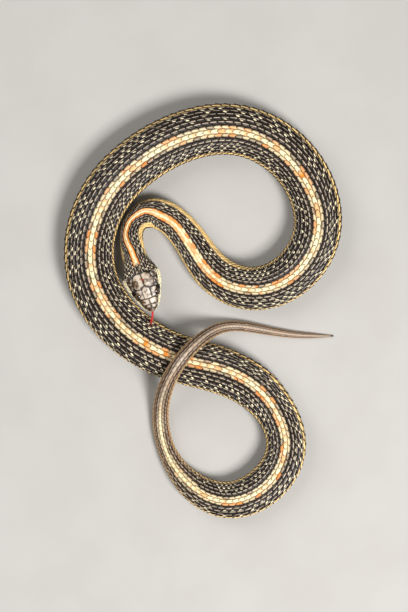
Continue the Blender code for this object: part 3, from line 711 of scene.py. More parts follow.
def eye_material(colours):
    """Living eye under a clear fixed scale: near-black round pupil, thin bronze iris, wet glass-like shine."""
    material, tree, shader, node, read = start_material("wet_eye_under_clear_scale", "gaze")
    streaks = node("TexNoise", {"Vector": node("TexCoord", out="Object"), "Scale": 2600, "Detail": 3})
    streaked = node("Math", (node("MapRange", (streaks, 0.35, 0.7), **EASED), 0.5), **TIMES)
    edges = (node("MapRange", (read["gaze"], *edge), **EASED) for edge in ((0.62, 0.66), (1.0, 0.86)))
    iris = laid_over(tree, colours.iris, (streaked, colours.cheek))
    fill(tree, shader, {
        "Base Color": laid_over(tree, (0.004, 0.003, 0.003), (node("Math", tuple(edges), **TIMES), iris)),
        "Roughness": 0.08, "Coat Weight": 1.0, "Coat Roughness": 0.02,
    })
    return material


def tongue_material(colours):
    """Moist muscle: saturated red stem darkening along the two tines, with a wet shine."""
    material, tree, shader, node, read = start_material("moist_tongue", "reach")
    darker = node("MapRange", (read["reach"], 0.55, 1.0, 0, 0.75), **EASED)
    fill(tree, shader, {
        "Base Color": laid_over(tree, colours.tongue, (darker, colours.black)),
        "Roughness": 0.28, "Subsurface Weight": 0.15, "Subsurface Scale": 0.0006,
    })
    return material


def paper_material(colours):
    """Matt paper, faintly uneven in tone, without any shine."""
    material, tree, shader, node, _ = start_material("matt_studio_paper")
    cloud = node("TexNoise", {"Vector": node("TexCoord", out="Object"), "Scale": 30, "Detail": 3})
    paler = node("MapRange", (cloud, 0.3, 0.7, 0, 0.04), **EASED)
    fill(tree, shader, {"Base Color": laid_over(tree, colours.floor, (paler, (1, 1, 1))), "Roughness": 0.9})
    return material


# Stretches in mm from the snout over which something comes in, (nothing, all of it).
STRIPE_STARTS = (20.0, 22.5)
SIDE_STARTS = (22, 27)
TAIL_STARTS = (476, 512)
TAIL_PALES = (500, 550)
NAPE_ENDS = (110, 70)
SIDE_WIDENS = (115, 75)
NECK_ENDS = (62, 40)
MOUTH_ENDS = (18.2, 16.8)
# The side stripe, as shares of the way round: where it comes in and where it goes out, and how it widens on the nape.
SIDE_IN, SIDE_OUT, SIDE_WIDER = (0.585, 0.61), (0.75, 0.725), 0.085
# Turns from the midline of the back and the share of the way round to the belly plates at each.
TURNS, SHARES = (0, 0.5, 1.0, 1.5, BELLY_EDGE, np.pi), (0, 0.28, 0.53, 0.75, 1, 1.35)
ROWS_TO_BELLY = 9.9  # in widths of the middle row


def bands(s, share, aside):
    """What skin and scales have in common: shares of back stripe, side stripe, tail and tail edge.

    share is the part of the way round to the belly, aside the distance from the middle row in rows.
    """
    on_tail = smooth(*TAIL_STARTS, s)
    wider = SIDE_WIDER * smooth(*SIDE_WIDENS, s)
    flank = smooth(SIDE_IN[0] - 0.9 * wider, SIDE_IN[1] - 0.9 * wider, share)
    flank = flank * smooth(SIDE_OUT[0] + wider, SIDE_OUT[1] + wider, share) * smooth(*SIDE_STARTS, s)
    return {
        "stripe": smooth(1.1, 0.7, aside) * smooth(*STRIPE_STARTS, s),
        "flank": flank * (1 - 0.75 * on_tail),
        "pale": smooth(*TAIL_PALES, s),
        "tail": on_tail * smooth(0.05, 0.2, share),
        "edge": on_tail * smooth(0.42, 0.55, share),
    }


def skin_markings(s, turn):
    """Markings of the bare skin, from the turn changed back into a share of the way round."""
    share = np.interp(round_by(turn), TURNS, SHARES)
    shifted = np.sign((turn + np.pi) % (2 * np.pi) - np.pi) * share
    q = shifted
    for _ in range(3):
        q = shifted + set_over(s, q)
    marks = bands(s, np.abs(q), np.abs(q) * ROWS_TO_BELLY)
    marks.update(warm=np.full_like(s, 0.4), slate=np.zeros_like(s), flank=0.4 * marks["flank"])
    return marks


def stripe_share(s, k, upper, draw, mood):
    """The stripe fills the middle row, and on the next row the half of each scale that is nearer the back.

    On the nape it fills more of that row. A fifth of the row's scales show only a quarter of it.
    """
    nape, on_tail = smooth(*NAPE_ENDS, s), smooth(*TAIL_STARTS, s)
    beside = smooth(-0.5 + 0.2 * nape, 0.35 - 0.1 * nape, upper + 0.5 * nape + on_tail)
    beside = (k == 1) * beside * np.where(mood > 0.2, 0.66 + 0.34 * np.maximum(draw, nape), 0.25 + 0.75 * nape)
    return np.where(k == 0, 1.0, beside * (1 - 0.6 * on_tail)) * smooth(*STRIPE_STARTS, s)


def stripe_warmth(s, k, upper, along, draw, mood):
    """How orange the stripe is: by chance on its middle row, in patches beside it, along both edges on the neck."""
    nape, neck = smooth(*NAPE_ENDS, s), smooth(*NECK_ENDS, s)
    root = smooth(0.66, 0.44, along)
    patch = 0.5 + 0.5 * np.sin(s / 4.1 + 2.4 * np.sin(s / 17.0))
    core = np.where(draw > 0.92, 0.6, 0.02) + 0.5 * root * (mood > 0.65)
    core = core * (1 - neck) + 0.25 * neck * (mood > 0.75)
    side = np.where(draw * 0.85 + patch * 0.3 > 0.74 - 0.2 * nape, 0.45 + 0.5 * mood, 0.03 + 0.15 * root)
    side = side * (1 - neck) + neck * smooth(0.7, 0.3, upper)
    return np.clip(np.where(k == 0, core, side) * (1 - 0.85 * smooth(*TAIL_STARTS, s)), 0, 1)


def scale_markings(s, q, row, beat, draw, mood, across, along):
    """Markings on the scales.

    row and beat number a scale across and along, draw and mood are its own chances, across -1..1 and
    along 0..1 are the place on it. The slate grey, partly the scales' own colour and partly painted sheen on
    the top of the back, fades out over the rows beside the stripe. The keel line is a painted highlight. The flecks sit
    on the upper edges of every second scale, more of them with each row from the second to the side stripe.
    """
    k = np.abs(row)
    share = np.abs(q)
    marks = bands(s, share, k)
    on_tail, nape = smooth(*TAIL_STARTS, s), smooth(*NAPE_ENDS, s)
    upper = -across * np.sign(row)
    stripe = stripe_share(s, k, upper, draw, mood)
    # Partly grey-brown scale colour, partly painted sheen, fading over the rows beside the stripe.
    slate = np.interp(k, [0, 1, 2, 3, 4, 5], [0.9, 0.9, 0.85, 0.55, 0.2, 0]) * (0.55 + 0.45 * draw)
    field = np.interp(k, [1, 2, 3, 4], [0, 0.2, 0.7, 1]) * smooth(0.64, 0.6, share)
    every = np.where(np.mod(beat + k, 2) == 0, 1.0, 0.9 * (mood > 0.7))
    fleck = field * every * smooth(0.05, 0.25, draw) * (1 - 0.7 * on_tail)
    speck = smooth(27, 22, s) * (mood > 0.4) * smooth(0.75, 0.55, share)
    seam = (1 - 0.45 * on_tail) * (1 - (0.35 + 0.35 * nape) * stripe) * (1 - 0.5 * nape * marks["flank"])
    marks.update(
        stripe=stripe, warm=stripe_warmth(s, k, upper, along, draw, mood), slate=slate * (1 - 0.5 * on_tail),
        seam=seam, fleck=np.clip(fleck + 0.7 * speck, 0, 1),
        # Painted highlight along each keel, strongest on the rows next to the stripe.
        keel_line=np.interp(k, [0, 1, 4, 7], [0, 1.0, 0.95, 0.6]) * (1 - stripe) * (0.7 + 0.3 * draw),
        flank=marks["flank"] * (0.75 + 0.25 * (draw > 0.3)),
        upper=np.where(k == 0, across, upper), along=along,
    )
    return marks


# Columns of points round the head and round the body, and those of the head above the mouth line on one side.
HEAD_COLUMNS, BODY_COLUMNS, UPPER_COLUMNS = 256, 64, 88
HEAD_SKIN_END = 26.0
# Rounding of a plate's edge, half width of the mouth's groove, and width over which a seam darkens, mm.
PLATE_ROUNDING, LIP_GROOVE, SEAM_WIDTH = 0.2, 0.13, 0.17
# Eye socket: depth, distances from the eye's axis at which it starts and is full, middle and width of the ring, mm.
SOCKET_DEPTH, SOCKET_EDGE, RING_AT, RING_WIDTH = 1.3, (1.62, 1.4), 1.85, 0.24
NOSTRIL_DEPTH, NOSTRIL_WIDTH = 0.55, 0.34
FULL_WIDTH = 8  # mm; relief is lower in proportion where the animal is narrower


def head_turns(s):
    """Turns of the head's columns: crowded towards the middle and the mouth line, even again behind the jaw.

    Above the line turn = lip (x - 0.55 sin(2 pi x) / (2 pi)), below it turn = lip + (pi - lip) x^1.35.
    """
    lower = HEAD_COLUMNS // 2 - UPPER_COLUMNS
    lip = lip_turn(np.maximum(s, 0.2))[:, None]
    x, y = np.arange(UPPER_COLUMNS) / UPPER_COLUMNS, np.arange(lower + 1) / lower
    above = lip * (x - 0.55 * np.sin(2 * np.pi * x) / (2 * np.pi))
    near = np.concatenate([above, lip + (np.pi - lip) * y**1.35], axis=1)
    even = np.linspace(0, np.pi, HEAD_COLUMNS // 2 + 1)[None, :]
    mix = smooth(17.5, 25.0, s)[:, None]
    half = near * (1 - mix) + even * mix
    return np.concatenate([half, -half[:, -2:0:-1]], axis=1)


def slender(s):
    """Share of the full relief that the animal's width leaves room for."""
    return np.minimum(1, ease(WIDTHS, s) / FULL_WIDTH)


def coat_depth(sizes, s):
    """How far the skin lies in under the scales, mm: nothing on the head's plates, and less on a thin tail."""
    return sizes.coat / MM * smooth(16.4, 17.8, s) * slender(s)


def eyes_and_nostrils(points):
    """Depth of the sockets and nostrils and height of the rings round the eyes, mm, and the nostrils alone, 0 to 1.

    A socket's wall eases down between two distances from the eye's axis, a ring is exp(-((d - r)/w)^2)
    round it, and a nostril is exp(-(d/w)^2) round its middle.
    """
    sockets, ring, nostrils = np.zeros((3, *points.shape[:2]))
    for sign in (1, -1):
        eye = head_point(EYE_STATION, sign * EYE_SIDE, EYE_LEVEL)
        inner = head_point(EYE_STATION + 0.3, sign * (EYE_SIDE - 2.0), EYE_LEVEL - 0.9)
        axis = (eye - inner) / np.linalg.norm(eye - inner)
        apart = points - eye
        ahead = (apart * axis).sum(-1)
        away = np.linalg.norm(apart - ahead[..., None] * axis, axis=-1)
        here = (ahead > -1.5) & (away < 4)
        sockets += SOCKET_DEPTH * smooth(*SOCKET_EDGE, away) * here
        ring += bump(away - RING_AT, RING_WIDTH) * here
        nostril = head_point(NOSTRIL_STATION, sign * NOSTRIL_SIDE, NOSTRIL_LEVEL)
        nostrils += bump(np.linalg.norm(points - nostril, axis=-1), NOSTRIL_WIDTH)
    return sockets + NOSTRIL_DEPTH * nostrils, ring, nostrils


def head_skin(sizes):
    """Head surface: the sections' form, raised by rise (1 - exp(-(d/0.2)^2)) at distance d inside a plate's edge,
    cut by a groove along the mouth line, sunk round the eyes and pitted at the nostrils."""
    front = 1.2 * (1 - np.cos(np.linspace(0.08, 1, 14) * np.pi / 2))
    stations = np.concatenate([front, np.arange(1.3, HEAD_SKIN_END, 0.135)])
    turns = head_turns(stations)
    s = np.repeat(stations[:, None], HEAD_COLUMNS, axis=1)
    side, height = outline(s, turns)
    lip, angle = lip_turn(s), round_by(turns)
    jaw = 0.96 - 0.5 * np.exp(-np.maximum(s - JAW_SETBACK, 0) / 0.8)
    below = smooth(0.0, 0.07, angle - lip) * smooth(18.5, 16.5, s)
    side = side * (1 - below * (1 - jaw))
    points = to_world(s, side, height)
    normal = outward(points)
    along = np.linalg.norm(np.gradient(points, axis=0), axis=-1) / np.gradient(stations)[:, None]
    around = np.linalg.norm(np.roll(points, -1, 1) - np.roll(points, 1, 1), axis=-1)
    around /= np.abs(np.roll(angle, -1, 1) - np.roll(angle, 1, 1)) + 1e-4
    around = np.clip(around, 0.5, 12)
    kind, edge = plate_field(s, turns, along, around)
    inside, from_lip = kind >= 0, (angle - lip) * around
    sunk, ring, nostrils = eyes_and_nostrils(points)
    rise = sizes.plate_rise / MM * (1 - bump(edge, PLATE_ROUNDING)) * inside * (1 - 0.9 * smooth(0.3, 1.0, sunk))
    groove = 0.5 * bump(from_lip, LIP_GROOVE) * smooth(*MOUTH_ENDS, s) * smooth(-0.2, 0.4, s)
    lower = coat_depth(sizes, s) * smooth(BELLY_EDGE + 0.2, BELLY_EDGE - 0.2, angle)
    lower = lower * (1 - inside * smooth(0, 0.15, edge))
    points = above_floor(points + normal * (rise - groove - lower - sunk + 0.1 * ring)[..., None])
    marks = skin_markings(s, turns)
    marks.update(head_markings(s, turns, points, kind, edge, from_lip, sunk, nostrils))
    return stations, turns, points, marks


def head_markings(s, turns, points, kind, edge, from_lip, sunk, nostrils):
    """Markings of the head: which colour each plate has, dark rims, darkening toward the outer edges of the crown,
    black seams between the plates, and painted shade in the eye sockets and nostril pits.
    """
    angle, inside = round_by(turns), kind >= 0
    between = ~inside & (s < 17.5)
    mouth = bump(from_lip, 0.2) * smooth(*MOUTH_ENDS, s)
    chin = (kind == IS_CHIN) | ((angle > BELLY_EDGE - 0.05) & ~inside)
    seam = np.where(inside, bump(edge, SEAM_WIDTH), 1.0) * smooth(19.5, 17.0, s) + smooth(17.0, 19.5, s) * 0.8
    seam = np.where(chin, 0.35 * seam * (s < 18), seam)
    # Painted shade: the deep parts of the eye sockets and nostril pits are coloured as black seam.
    pit_shade = np.maximum(smooth(0.4, 0.9, nostrils), smooth(0.7, 1.15, sunk))
    seam = np.clip(np.maximum(np.maximum(seam, mouth), pit_shade), 0, 1)
    # Darker toward the outer edges of the crown, beginning nearer the middle behind the eyes and on the animal's right.
    brow = angle + np.where(turns < 0, 0.1, 0)
    outer_darkening = smooth(0.5, 0.76, brow) * smooth(12, 10, s) + smooth(0.36, 0.6, brow) * smooth(10, 13, s)
    spot = head_point(14.2, 0.0, 0)
    from_spot = np.hypot(points[..., 0] - spot[0], points[..., 1] - spot[1])
    nose = smooth(1.9, 1.6, s) * smooth(1.05, 0.8, angle)
    pale_side = (kind == IS_SIDE) * smooth(0.98, 1.05, angle) * smooth(1.5, 3.0, s)
    lip = np.maximum((kind == IS_UPPER_LIP) | (kind == IS_LOWER_LIP), pale_side) * (1 - nose)
    return {
        "rim": np.where(inside, np.maximum(bump(edge, 0.35), np.maximum(outer_darkening, 0.5 * nose)), 1.0),
        "crown": np.maximum((kind == IS_CROWN) | (between & (angle < 0.3)), nose),
        "cheek": (kind == IS_SIDE) | (between & (angle >= 0.3) & (angle < BELLY_EDGE)),
        "lip": lip,
        "belly": chin * smooth(BELLY_EDGE - 0.1, BELLY_EDGE + 0.05, angle),
        "rust": smooth(0.75, 0.4, from_spot) * (angle < 0.6),
        "seam": np.maximum(seam * (1 - 0.4 * lip), mouth),
    }


def body_skin(sizes):
    """Body and tail surface: belly plates as steps that rise in the first sixth of their pitch and hold to the rear."""
    first, last = plate_count(HEAD_SKIN_END + 0.5), plate_count(TIP - 1.0)
    whole = np.arange(math.ceil(first), math.floor(last))
    steps = plate_station(np.concatenate([whole + share for share in (0.0, 0.17, 0.93)]))
    stations = np.unique(np.concatenate([[HEAD_SKIN_END + 0.3], steps, [TIP - 0.8, TIP - 0.3, TIP - 0.05]]))
    turns = np.linspace(0, 2 * np.pi, BODY_COLUMNS, endpoint=False)
    turns = np.repeat(np.where(turns > np.pi, turns - 2 * np.pi, turns)[None, :], len(stations), axis=0)
    s = np.repeat(stations[:, None], BODY_COLUMNS, axis=1)
    points = surface(s, turns)
    angle = round_by(turns)
    step = smooth(0.02, 0.16, np.mod(plate_count(s) + 1e-6, 1))
    on_belly = smooth(BELLY_EDGE - 0.18, BELLY_EDGE + 0.05, angle)
    front = sizes.belly_step / MM * slender(s) * on_belly * (1 - step)
    lower = coat_depth(sizes, s) * (1 - on_belly)
    points = points - outward(points) * (lower + front)[..., None]
    points = above_floor(points, front * (s > 50) * (lift(s) < 0.2))
    belly = smooth(BELLY_EDGE - 0.1, BELLY_EDGE, angle)
    spot = bump(angle - BELLY_EDGE - 0.18, 0.07) * (chance(np.floor(plate_count(s)), 5) > 0.25)
    marks = skin_markings(s, turns)
    marks.update(dict.fromkeys(("crown", "rim", "cheek", "lip", "rust"), np.zeros_like(s)), belly=belly)
    marks["seam"] = np.clip(0.8 * (1 - belly) + belly * (0.5 * (1 - step) + 0.8 * spot), 0, 1)
    return stations, turns, points, marks


def triangles(first, second, third):
    """Faces of three corners each, as make_mesh takes them; a single number stands in every face."""
    corners = np.broadcast_arrays(first, second, third, third)
    return np.stack(corners, -1)


def skin_faces(head_rows, body_rows):
    """Faces of head and body, of the fans that join their unequal rings, and of both ends, whose points come last."""
    ratio, j, i = HEAD_COLUMNS // BODY_COLUMNS, np.arange(BODY_COLUMNS), np.arange(HEAD_COLUMNS)
    start = head_rows * HEAD_COLUMNS
    last, end = start - HEAD_COLUMNS, start + body_rows * BODY_COLUMNS
    rim = end - BODY_COLUMNS
    after = (j + 1) % BODY_COLUMNS
    fans = [
        triangles(last + ratio * j + k, start + j, last + (ratio * j + k + 1) % HEAD_COLUMNS) for k in range(ratio)
    ]
    fans.append(triangles(last + (ratio * j + ratio) % HEAD_COLUMNS, start + j, start + after))
    ends = [triangles(i, (i + 1) % HEAD_COLUMNS, end), triangles(rim + after, rim + j, end + 1)]
    grids = [grid_faces(head_rows, HEAD_COLUMNS), grid_faces(body_rows, BODY_COLUMNS, start)]
    return np.concatenate([grids[0], *fans, grids[1], *ends])


def skin_map(mesh, s, turn):
    """Bake map of the skin: each face whole in one lane, and unrolled past the belly where it crosses the seam."""
    corner = corners_of(mesh)
    starts, counts = np.empty((2, len(mesh.polygons)), np.int32)
    mesh.polygons.foreach_get("loop_start", starts)
    mesh.polygons.foreach_get("loop_total", counts)
    face_of = np.repeat(np.arange(len(starts)), counts)
    lane = lane_of(np.minimum.reduceat(s[corner], starts))[face_of]
    around = turn[corner]
    spread = np.maximum.reduceat(around, starts) - np.minimum.reduceat(around, starts)
    around = np.where((spread[face_of] > np.pi) & (around < 0), around + 2 * np.pi, around)
    set_bake_map(mesh, unwrap(s[corner], around, lane))


class SNAKE_OT_skin(bpy.types.Operator):
    """One skin from snout to tail tip, with head plates, mouth line, nostrils and belly plates in its relief"""

    bl_idname = "snake.skin"
    bl_label = "Skin"

    def execute(self, context):
        sizes = context.scene.snake_sizes
        head_at, head_turn, head, head_marks = head_skin(sizes)
        body_at, body_turn, body, body_marks = body_skin(sizes)
        tips = [head[0].mean(0), body[-1].mean(0)]
        points = np.concatenate([head.reshape(-1, 3), body.reshape(-1, 3), tips])
        marks = {}
        for key, on_body in body_marks.items():
            on_head = head_marks[key]
            marks[key] = np.concatenate([on_head.ravel(), on_body.ravel(), [on_head[0, 0], on_body[-1, -1]]])
        mesh = make_mesh("skin", points, skin_faces(len(head), len(body)), marks)
        s = np.concatenate([np.repeat(head_at, HEAD_COLUMNS), np.repeat(body_at, BODY_COLUMNS), [0, TIP]])
        skin_map(mesh, s, np.concatenate([head_turn.ravel(), body_turn.ravel(), [0, 0]]))
        add_piece("skin", mesh, skin_material(context.scene.snake_colours), FLESH)
        return {"FINISHED"}


# Rows of back scales each side of the middle one, by stretch of the body: (from, to, rows a side)
ROW_STRETCHES = [
    (16.2, 36, 9), (36, 404, 9), (404, 486, 8), (486, 512, 6), (512, 545, 5), (545, 582, 4), (582, 620.5, 3),
]
# Lines of points along and across one scale, as shares of its length and of its half width.
ALONG = np.array([0, 0.22, 0.46, 0.7, 0.88, 0.97, 1.0])
ACROSS = np.array([-1, -0.9, -0.5, -0.13, 0, 0.13, 0.5, 0.9, 1])
# Length and width of a scale over the pitch of its place, so that the scales overlap.
OVERLAP_ALONG, OVERLAP_ACROSS = 1.62, 1.28
# (share of the length, share of the half width) of a scale's leaf.
LEAF = [(0, 0.62), (0.2, 0.88), (0.42, 1.0), (0.62, 0.93), (0.8, 0.68), (0.92, 0.4), (1.0, 0.12)]
# (degrees from the crown, station) at which the back scales begin behind the head's plates.
SCALES_START = [
    (0, 17.0), (10, 17.3), (21, 16.8), (31, 16.2), (44, 17.0), (62, 17.3), (68, 16.8), (95, 16.9), (118, 16.9),
]
# Size of one scale on the bake map, along and half across.
LEAF_ON_MAP = (0.005, 0.00175)
SCALE_MESHES = (("scales_fore", 0, 170), ("scales_middle", 170, 340), ("scales_hind", 340, 700))


def scale_places():
    """Centre of each back scale: station, share round, row, half width as a share, and its number in the row.

    The two rows next to the belly are wider than the others, and odd rows stand half a pitch on.
    """
    found = []
    for start, end, rows in ROW_STRETCHES:
        wide = np.array([1 + 0.5 * max(0, (k - rows + 2) / 2) if rows > 6 else 1 for k in range(rows + 1)])
        edges = np.cumsum(np.concatenate([[wide[0] / 2], wide[1:]]))
        middle = edges - wide / 2
        middle[0] = 0
        for row in range(-rows, rows + 1):
            k = abs(row)
            odd = 0.5 * (k % 2)
            n = np.arange(math.ceil(plate_count(start) - odd), plate_count(end) - odd)
            at = plate_station(n + odd), np.copysign(middle[k] / edges[-1], row), row, 0.5 * wide[k] / edges[-1], n
            found.append(np.stack(np.broadcast_arrays(*at), -1))
    return np.concatenate(found)


def clear_of_head(s, q):
    """True where a scale lies on the nape or the sides of the neck, behind the head's own plates."""
    return s > np.interp(np.degrees(np.abs(turn_of(s, q))), *zip(*SCALES_START))


def scales_mesh(name, places, sizes):
    """Back scales: each a leaf of half width b(u), laid over the skin.

    b(u) swells from 0.62 at the root to 1 at 0.42 of the length and closes to the tip; height rises with
    u^1.15 to the free tip, falls off with |w|^2.2 to the sides, has a ridge exp(-(w/0.15)^2) along the
    middle, and the outermost ring of each leaf dips under the skin so that no edge stands open.
    """
    s0, q0, row, half, n = places.T[:, :, None, None]
    u, w = (grid[None] for grid in np.meshgrid(ALONG, ACROSS, indexing="ij"))
    draw, mood = (chance(n, row + 20, key) for key in (1, 2))
    pitch = ease(PITCH, s0)
    s = s0 + (u - 0.5) * pitch * OVERLAP_ALONG * (0.97 + 0.06 * mood) + 0.04 * pitch * (draw - 0.5)
    across = w * half * half_round(s0) * OVERLAP_ACROSS * np.interp(u, *zip(*LEAF))
    q = q0 + across / half_round(np.clip(s, 17, TIP - 0.5))
    s = np.clip(s, 16.6, TIP - 0.2)
    turn = turn_of(s, q)
    small = np.minimum(1, pitch / 3.0)
    height = sizes.scale_rise / MM * small * (0.94 + 0.12 * draw)
    height = height * (0.16 + 0.84 * u**1.15) * (1 - 0.5 * np.abs(w) ** 2.2)
    ridge = bump(w, 0.15) * smooth(0, 0.25, u) * (1 - 0.7 * smooth(0.8, 0.95, np.abs(q0)))
    height = height + sizes.keel / MM * small * ridge
    height = np.where(np.abs(w) >= 1, -0.1, height)
    height = np.where(u <= 0, np.minimum(height, -0.04), height)
    height = np.where(u >= 1, -0.05, height)
    along = surface(s + 0.05, turn) - surface(s - 0.05, turn)
    around = surface(s, turn + 0.02) - surface(s, turn - 0.02)
    normal = np.cross(around, along)
    normal /= np.maximum(np.linalg.norm(normal, axis=-1, keepdims=True), 1e-9)
    points = surface(s, turn) + normal * ((height - sizes.coat / MM) * slender(s))[..., None]
    many, rows, columns = points.shape[:3]
    faces = grid_faces(rows, columns, closed=False) + np.arange(many)[:, None, None] * rows * columns
    marks = scale_markings(*np.broadcast_arrays(s, q, row, n, draw, mood, w, u))
    mesh = make_mesh(name, above_floor(points, 0.02).reshape(-1, 3), faces.reshape(-1, 4), marks)
    root = unwrap(s0, turn_of(s0, q0), lane_of(s0))
    leaf = np.stack(np.broadcast_arrays(u * LEAF_ON_MAP[0], w * LEAF_ON_MAP[1]), -1)
    set_bake_map(mesh, (root + leaf).reshape(-1, 2)[corners_of(mesh)])
    return mesh


class SNAKE_OT_scales(bpy.types.Operator):
    """Overlapping keeled scales over back and sides, in three meshes"""

    bl_idname = "snake.scales"
    bl_label = "Back scales"

    def execute(self, context):
        places = scale_places()
        places = places[clear_of_head(places[:, 0], places[:, 1])]
        material = scale_material(context.scene.snake_colours)
        for name, low, high in SCALE_MESHES:
            chosen = places[(places[:, 0] >= low) & (places[:, 0] < high)]
            add_piece(name, scales_mesh(name, chosen, context.scene.snake_sizes), material)
        return {"FINISHED"}


EYE_ROWS, EYE_COLUMNS = 36, 48


def ball(centre, radius, axis):
    """Sphere round an axis: centre + r (cos a axis + sin a (cos b side + sin b up)), with a and b."""
    a = np.linspace(0, np.pi, EYE_ROWS)[:, None]
    b = np.linspace(0, 2 * np.pi, EYE_COLUMNS, endpoint=False)[None, :]
    side = np.cross(axis, [0, 0, 1.0])
    side /= np.linalg.norm(side)
    up = np.cross(side, axis)
    out = np.cos(b)[..., None] * side + np.sin(b)[..., None] * up
    points = centre + radius * (np.cos(a)[..., None] * axis + np.sin(a)[..., None] * out)
    return points, *np.broadcast_arrays(a, b)


class SNAKE_OT_eyes(bpy.types.Operator):
    """Both eyes, each a ball under its clear fixed scale, looking out and a little forward"""

    bl_idname = "snake.eyes"
    bl_label = "Eyes"

    def execute(self, context):
        material = eye_material(context.scene.snake_colours)
        for sign, name in ((1, "left"), (-1, "right")):
            centre = head_point(EYE_STATION, sign * EYE_SIDE, EYE_LEVEL)
            outer = head_point(EYE_STATION - 0.5, sign * (EYE_SIDE + 2.0), EYE_LEVEL + 0.35)
            axis = (outer - centre) / np.linalg.norm(outer - centre)
            points, a, b = ball(centre, EYE_RADIUS, axis)
            faces = grid_faces(EYE_ROWS, EYE_COLUMNS)[:, ::-1]
            mesh = make_mesh(f"eye_ball_{name}", points.reshape(-1, 3), faces, {"gaze": a})
            flat = 0.5 + 0.48 * (a / np.pi)[..., None] * np.stack([np.cos(b), np.sin(b)], -1)
            set_bake_map(mesh, flat.reshape(-1, 2)[corners_of(mesh)])
            add_piece(f"eye_ball_{name}", mesh, material, [f"eye_{name}"])
        return {"FINISHED"}


TONGUE_RINGS, TONGUE_SIDES = 24, 16


def ribbon(path, wide, thick):
    """Flat tube: path + cos(b) wide/2 across + sin(b) thick/2 up, with across level, and the ends of its path."""
    along = np.gradient(path, axis=0)
    along /= np.linalg.norm(along, axis=1, keepdims=True)
    across = np.cross(along, [0, 0, 1.0])
    across /= np.linalg.norm(across, axis=1, keepdims=True)
    up = np.cross(across, along)
    b = np.linspace(0, 2 * np.pi, TONGUE_SIDES, endpoint=False)[None, :, None]
    wide, thick = wide[:, None, None] / 2, thick[:, None, None] / 2
    rings = path[:, None] + across[:, None] * np.cos(b) * wide + up[:, None] * np.sin(b) * thick
    return np.concatenate([rings.reshape(-1, 3), path[:1], path[-1:]])


def bend_between(start, middle, end):
    """Parabola through its ends: p (1-t)^2 + 2 m t (1-t) + e t^2."""
    t = np.linspace(0, 1, TONGUE_RINGS)[:, None]
    return start * (1 - t) ** 2 + 2 * middle * t * (1 - t) + end * t * t


class SNAKE_OT_tongue(bpy.types.Operator):
    """Forked tongue from the notch between the lips, its tines curling up"""

    bl_idname = "snake.tongue"
    bl_label = "Tongue"

    def execute(self, context):
        root, lip, fork, *tips = (
            head_point(-a, b, c) for a, b, c in (TONGUE_ROOT, TONGUE_LIP, TONGUE_FORK, *TONGUE_TIPS)
        )
        stem = bend_between(root, lip, fork)
        run = (stem[-1] - stem[-2]) / np.linalg.norm(stem[-1] - stem[-2])
        t = np.linspace(0, 1, TONGUE_RINGS)
        close = np.minimum(1, np.sqrt(np.maximum(0, (1 - t)) * 12 + 0.02))
        parts = [(stem, 0.9 * (1 - 0.1 * t) * close, 0.55 * (1 - 0.1 * t) * close, 0.55 * t)]
        for side, tip in zip((-1, 1), tips):
            aside = np.cross(run, [0, 0, 1.0]) * side * 0.2
            tine = bend_between(fork - run * 0.8 - aside, fork + run * 1.4 - aside * 1.5, tip)
            parts.append((tine, 0.5 * (1 - 0.6 * t) * close, 0.44 * (1 - 0.55 * t) * close, 0.5 + 0.5 * t))
        rings, sides = TONGUE_RINGS, TONGUE_SIDES
        j, per_part = np.arange(sides), rings * sides + 2
        k, end = (j + 1) % sides, (rings - 1) * sides
        caps = [triangles(k, j, per_part - 2), triangles(end + j, end + k, per_part - 1)]
        faces = np.concatenate([grid_faces(rings, sides)[:, ::-1], *caps])
        faces = np.concatenate([faces + part * per_part for part in range(len(parts))])
        points = np.concatenate([ribbon(path, wide, thick) for path, wide, thick, _ in parts])
        reach = np.concatenate([[*np.repeat(share, sides), share[0], share[-1]] for *_, share in parts])
        mesh = make_mesh("forked_tongue", points, faces, {"reach": reach})
        part, inner = np.divmod(np.arange(len(points)), per_part)
        down = np.minimum(inner // sides, rings - 1) / (rings - 1) * 0.9 + 0.05
        flat = np.stack([down, (part + 0.1 + 0.8 * (inner % sides) / sides) / len(parts)], -1)
        set_bake_map(mesh, flat[corners_of(mesh)])
        add_piece("forked_tongue", mesh, tongue_material(context.scene.snake_colours), ["tongue"])
        return {"FINISHED"}


FLOOR_REACH = 900  # mm from the middle to an edge
SENSOR_HEIGHT = 36  # mm
CAMERA_OVER = (0.0005, 0.0022)  # m
# Name, place in m, side in m and power in W.
LAMPS = (("key", (0.5, -0.5, 1.0), 0.42, 20), ("fill", (-0.7, 0.5, 0.8), 0.9, 7))
SKY_TINT, SKY_STRENGTH = (1, 0.98, 0.95, 1), 0.22


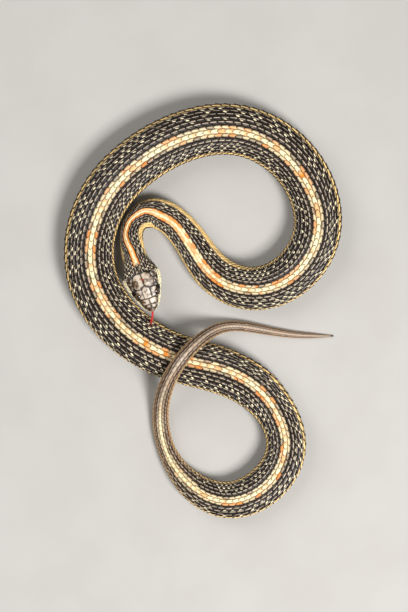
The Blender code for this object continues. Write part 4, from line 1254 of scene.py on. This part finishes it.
class SNAKE_OT_stage(bpy.types.Operator):
    """Pale floor, soft light from the lower right, a weaker one across from it, and the camera straight above"""

    bl_idname = "snake.stage"
    bl_label = "Studio"

    def execute(self, context):
        scene = context.scene
        sizes = scene.snake_sizes
        corners = FLOOR_REACH * np.array([(-1, -1, 0), (1, -1, 0), (1, 1, 0), (-1, 1, 0)], float)
        mesh = make_mesh("floor", corners, np.array([[0, 1, 2, 3]]), {}, False)
        mesh.materials.append(paper_material(scene.snake_colours))
        floor = bpy.data.objects.new("floor", mesh)
        scene.collection.objects.link(floor)
        scene.world = bpy.data.worlds.new("studio")
        scene.world.use_nodes = True
        sky = scene.world.node_tree
        fill(sky, sky.nodes["Background"], {"Color": SKY_TINT, "Strength": SKY_STRENGTH})
        scene.view_settings.view_transform = "Standard"
        for name, spot, size, power in LAMPS:
            light = bpy.data.lights.new(name, "AREA")
            light.size = size
            light.energy = power
            lamp = bpy.data.objects.new(name, light)
            lamp.location = spot
            lamp.rotation_euler = Vector(spot).to_track_quat("Z", "Y").to_euler()
            scene.collection.objects.link(lamp)
        lens = bpy.data.cameras.new("camera")
        lens.sensor_fit = "VERTICAL"
        lens.sensor_height = SENSOR_HEIGHT
        lens.lens = SENSOR_HEIGHT * sizes.camera_height / sizes.view_height  # the floor fills view_height
        lens.clip_start = 0.01
        camera = bpy.data.objects.new("camera", lens)
        camera.location = (*CAMERA_OVER, sizes.camera_height)
        scene.collection.objects.link(camera)
        scene.camera = camera
        return {"FINISHED"}


OPERATORS = (SNAKE_OT_skin, SNAKE_OT_scales, SNAKE_OT_eyes, SNAKE_OT_tongue, SNAKE_OT_stage)


class SNAKE_PT_panel(bpy.types.Panel):
    """Sizes, colours and pieces of the snake"""

    bl_idname = "SNAKE_PT_panel"
    bl_label = "Garter Snake"
    bl_space_type = "VIEW_3D"
    bl_region_type = "UI"
    bl_category = "Snake"

    def draw(self, context):
        for group in (context.scene.snake_sizes, context.scene.snake_colours):
            box = self.layout.box()
            for key in group.__annotations__:
                box.prop(group, key)
        for operator in OPERATORS:
            self.layout.operator(operator.bl_idname)


CLASSES = (SnakeSizes, SnakeColours, *OPERATORS, SNAKE_PT_panel)


def register():
    """Adds the classes, and the snake's settings to the scene."""
    for cls in CLASSES:
        bpy.utils.register_class(cls)
    bpy.types.Scene.snake_sizes = bpy.props.PointerProperty(type=SnakeSizes)
    bpy.types.Scene.snake_colours = bpy.props.PointerProperty(type=SnakeColours)


def unregister():
    """Takes away the settings and the classes."""
    del bpy.types.Scene.snake_sizes
    del bpy.types.Scene.snake_colours
    for cls in reversed(CLASSES):
        bpy.utils.unregister_class(cls)


def main():
    """Makes every piece in order."""
    register()
    bpy.ops.snake.skin()
    bpy.ops.snake.scales()
    bpy.ops.snake.eyes()
    bpy.ops.snake.tongue()
    bpy.ops.snake.stage()


if __name__ == "__main__":
    main()
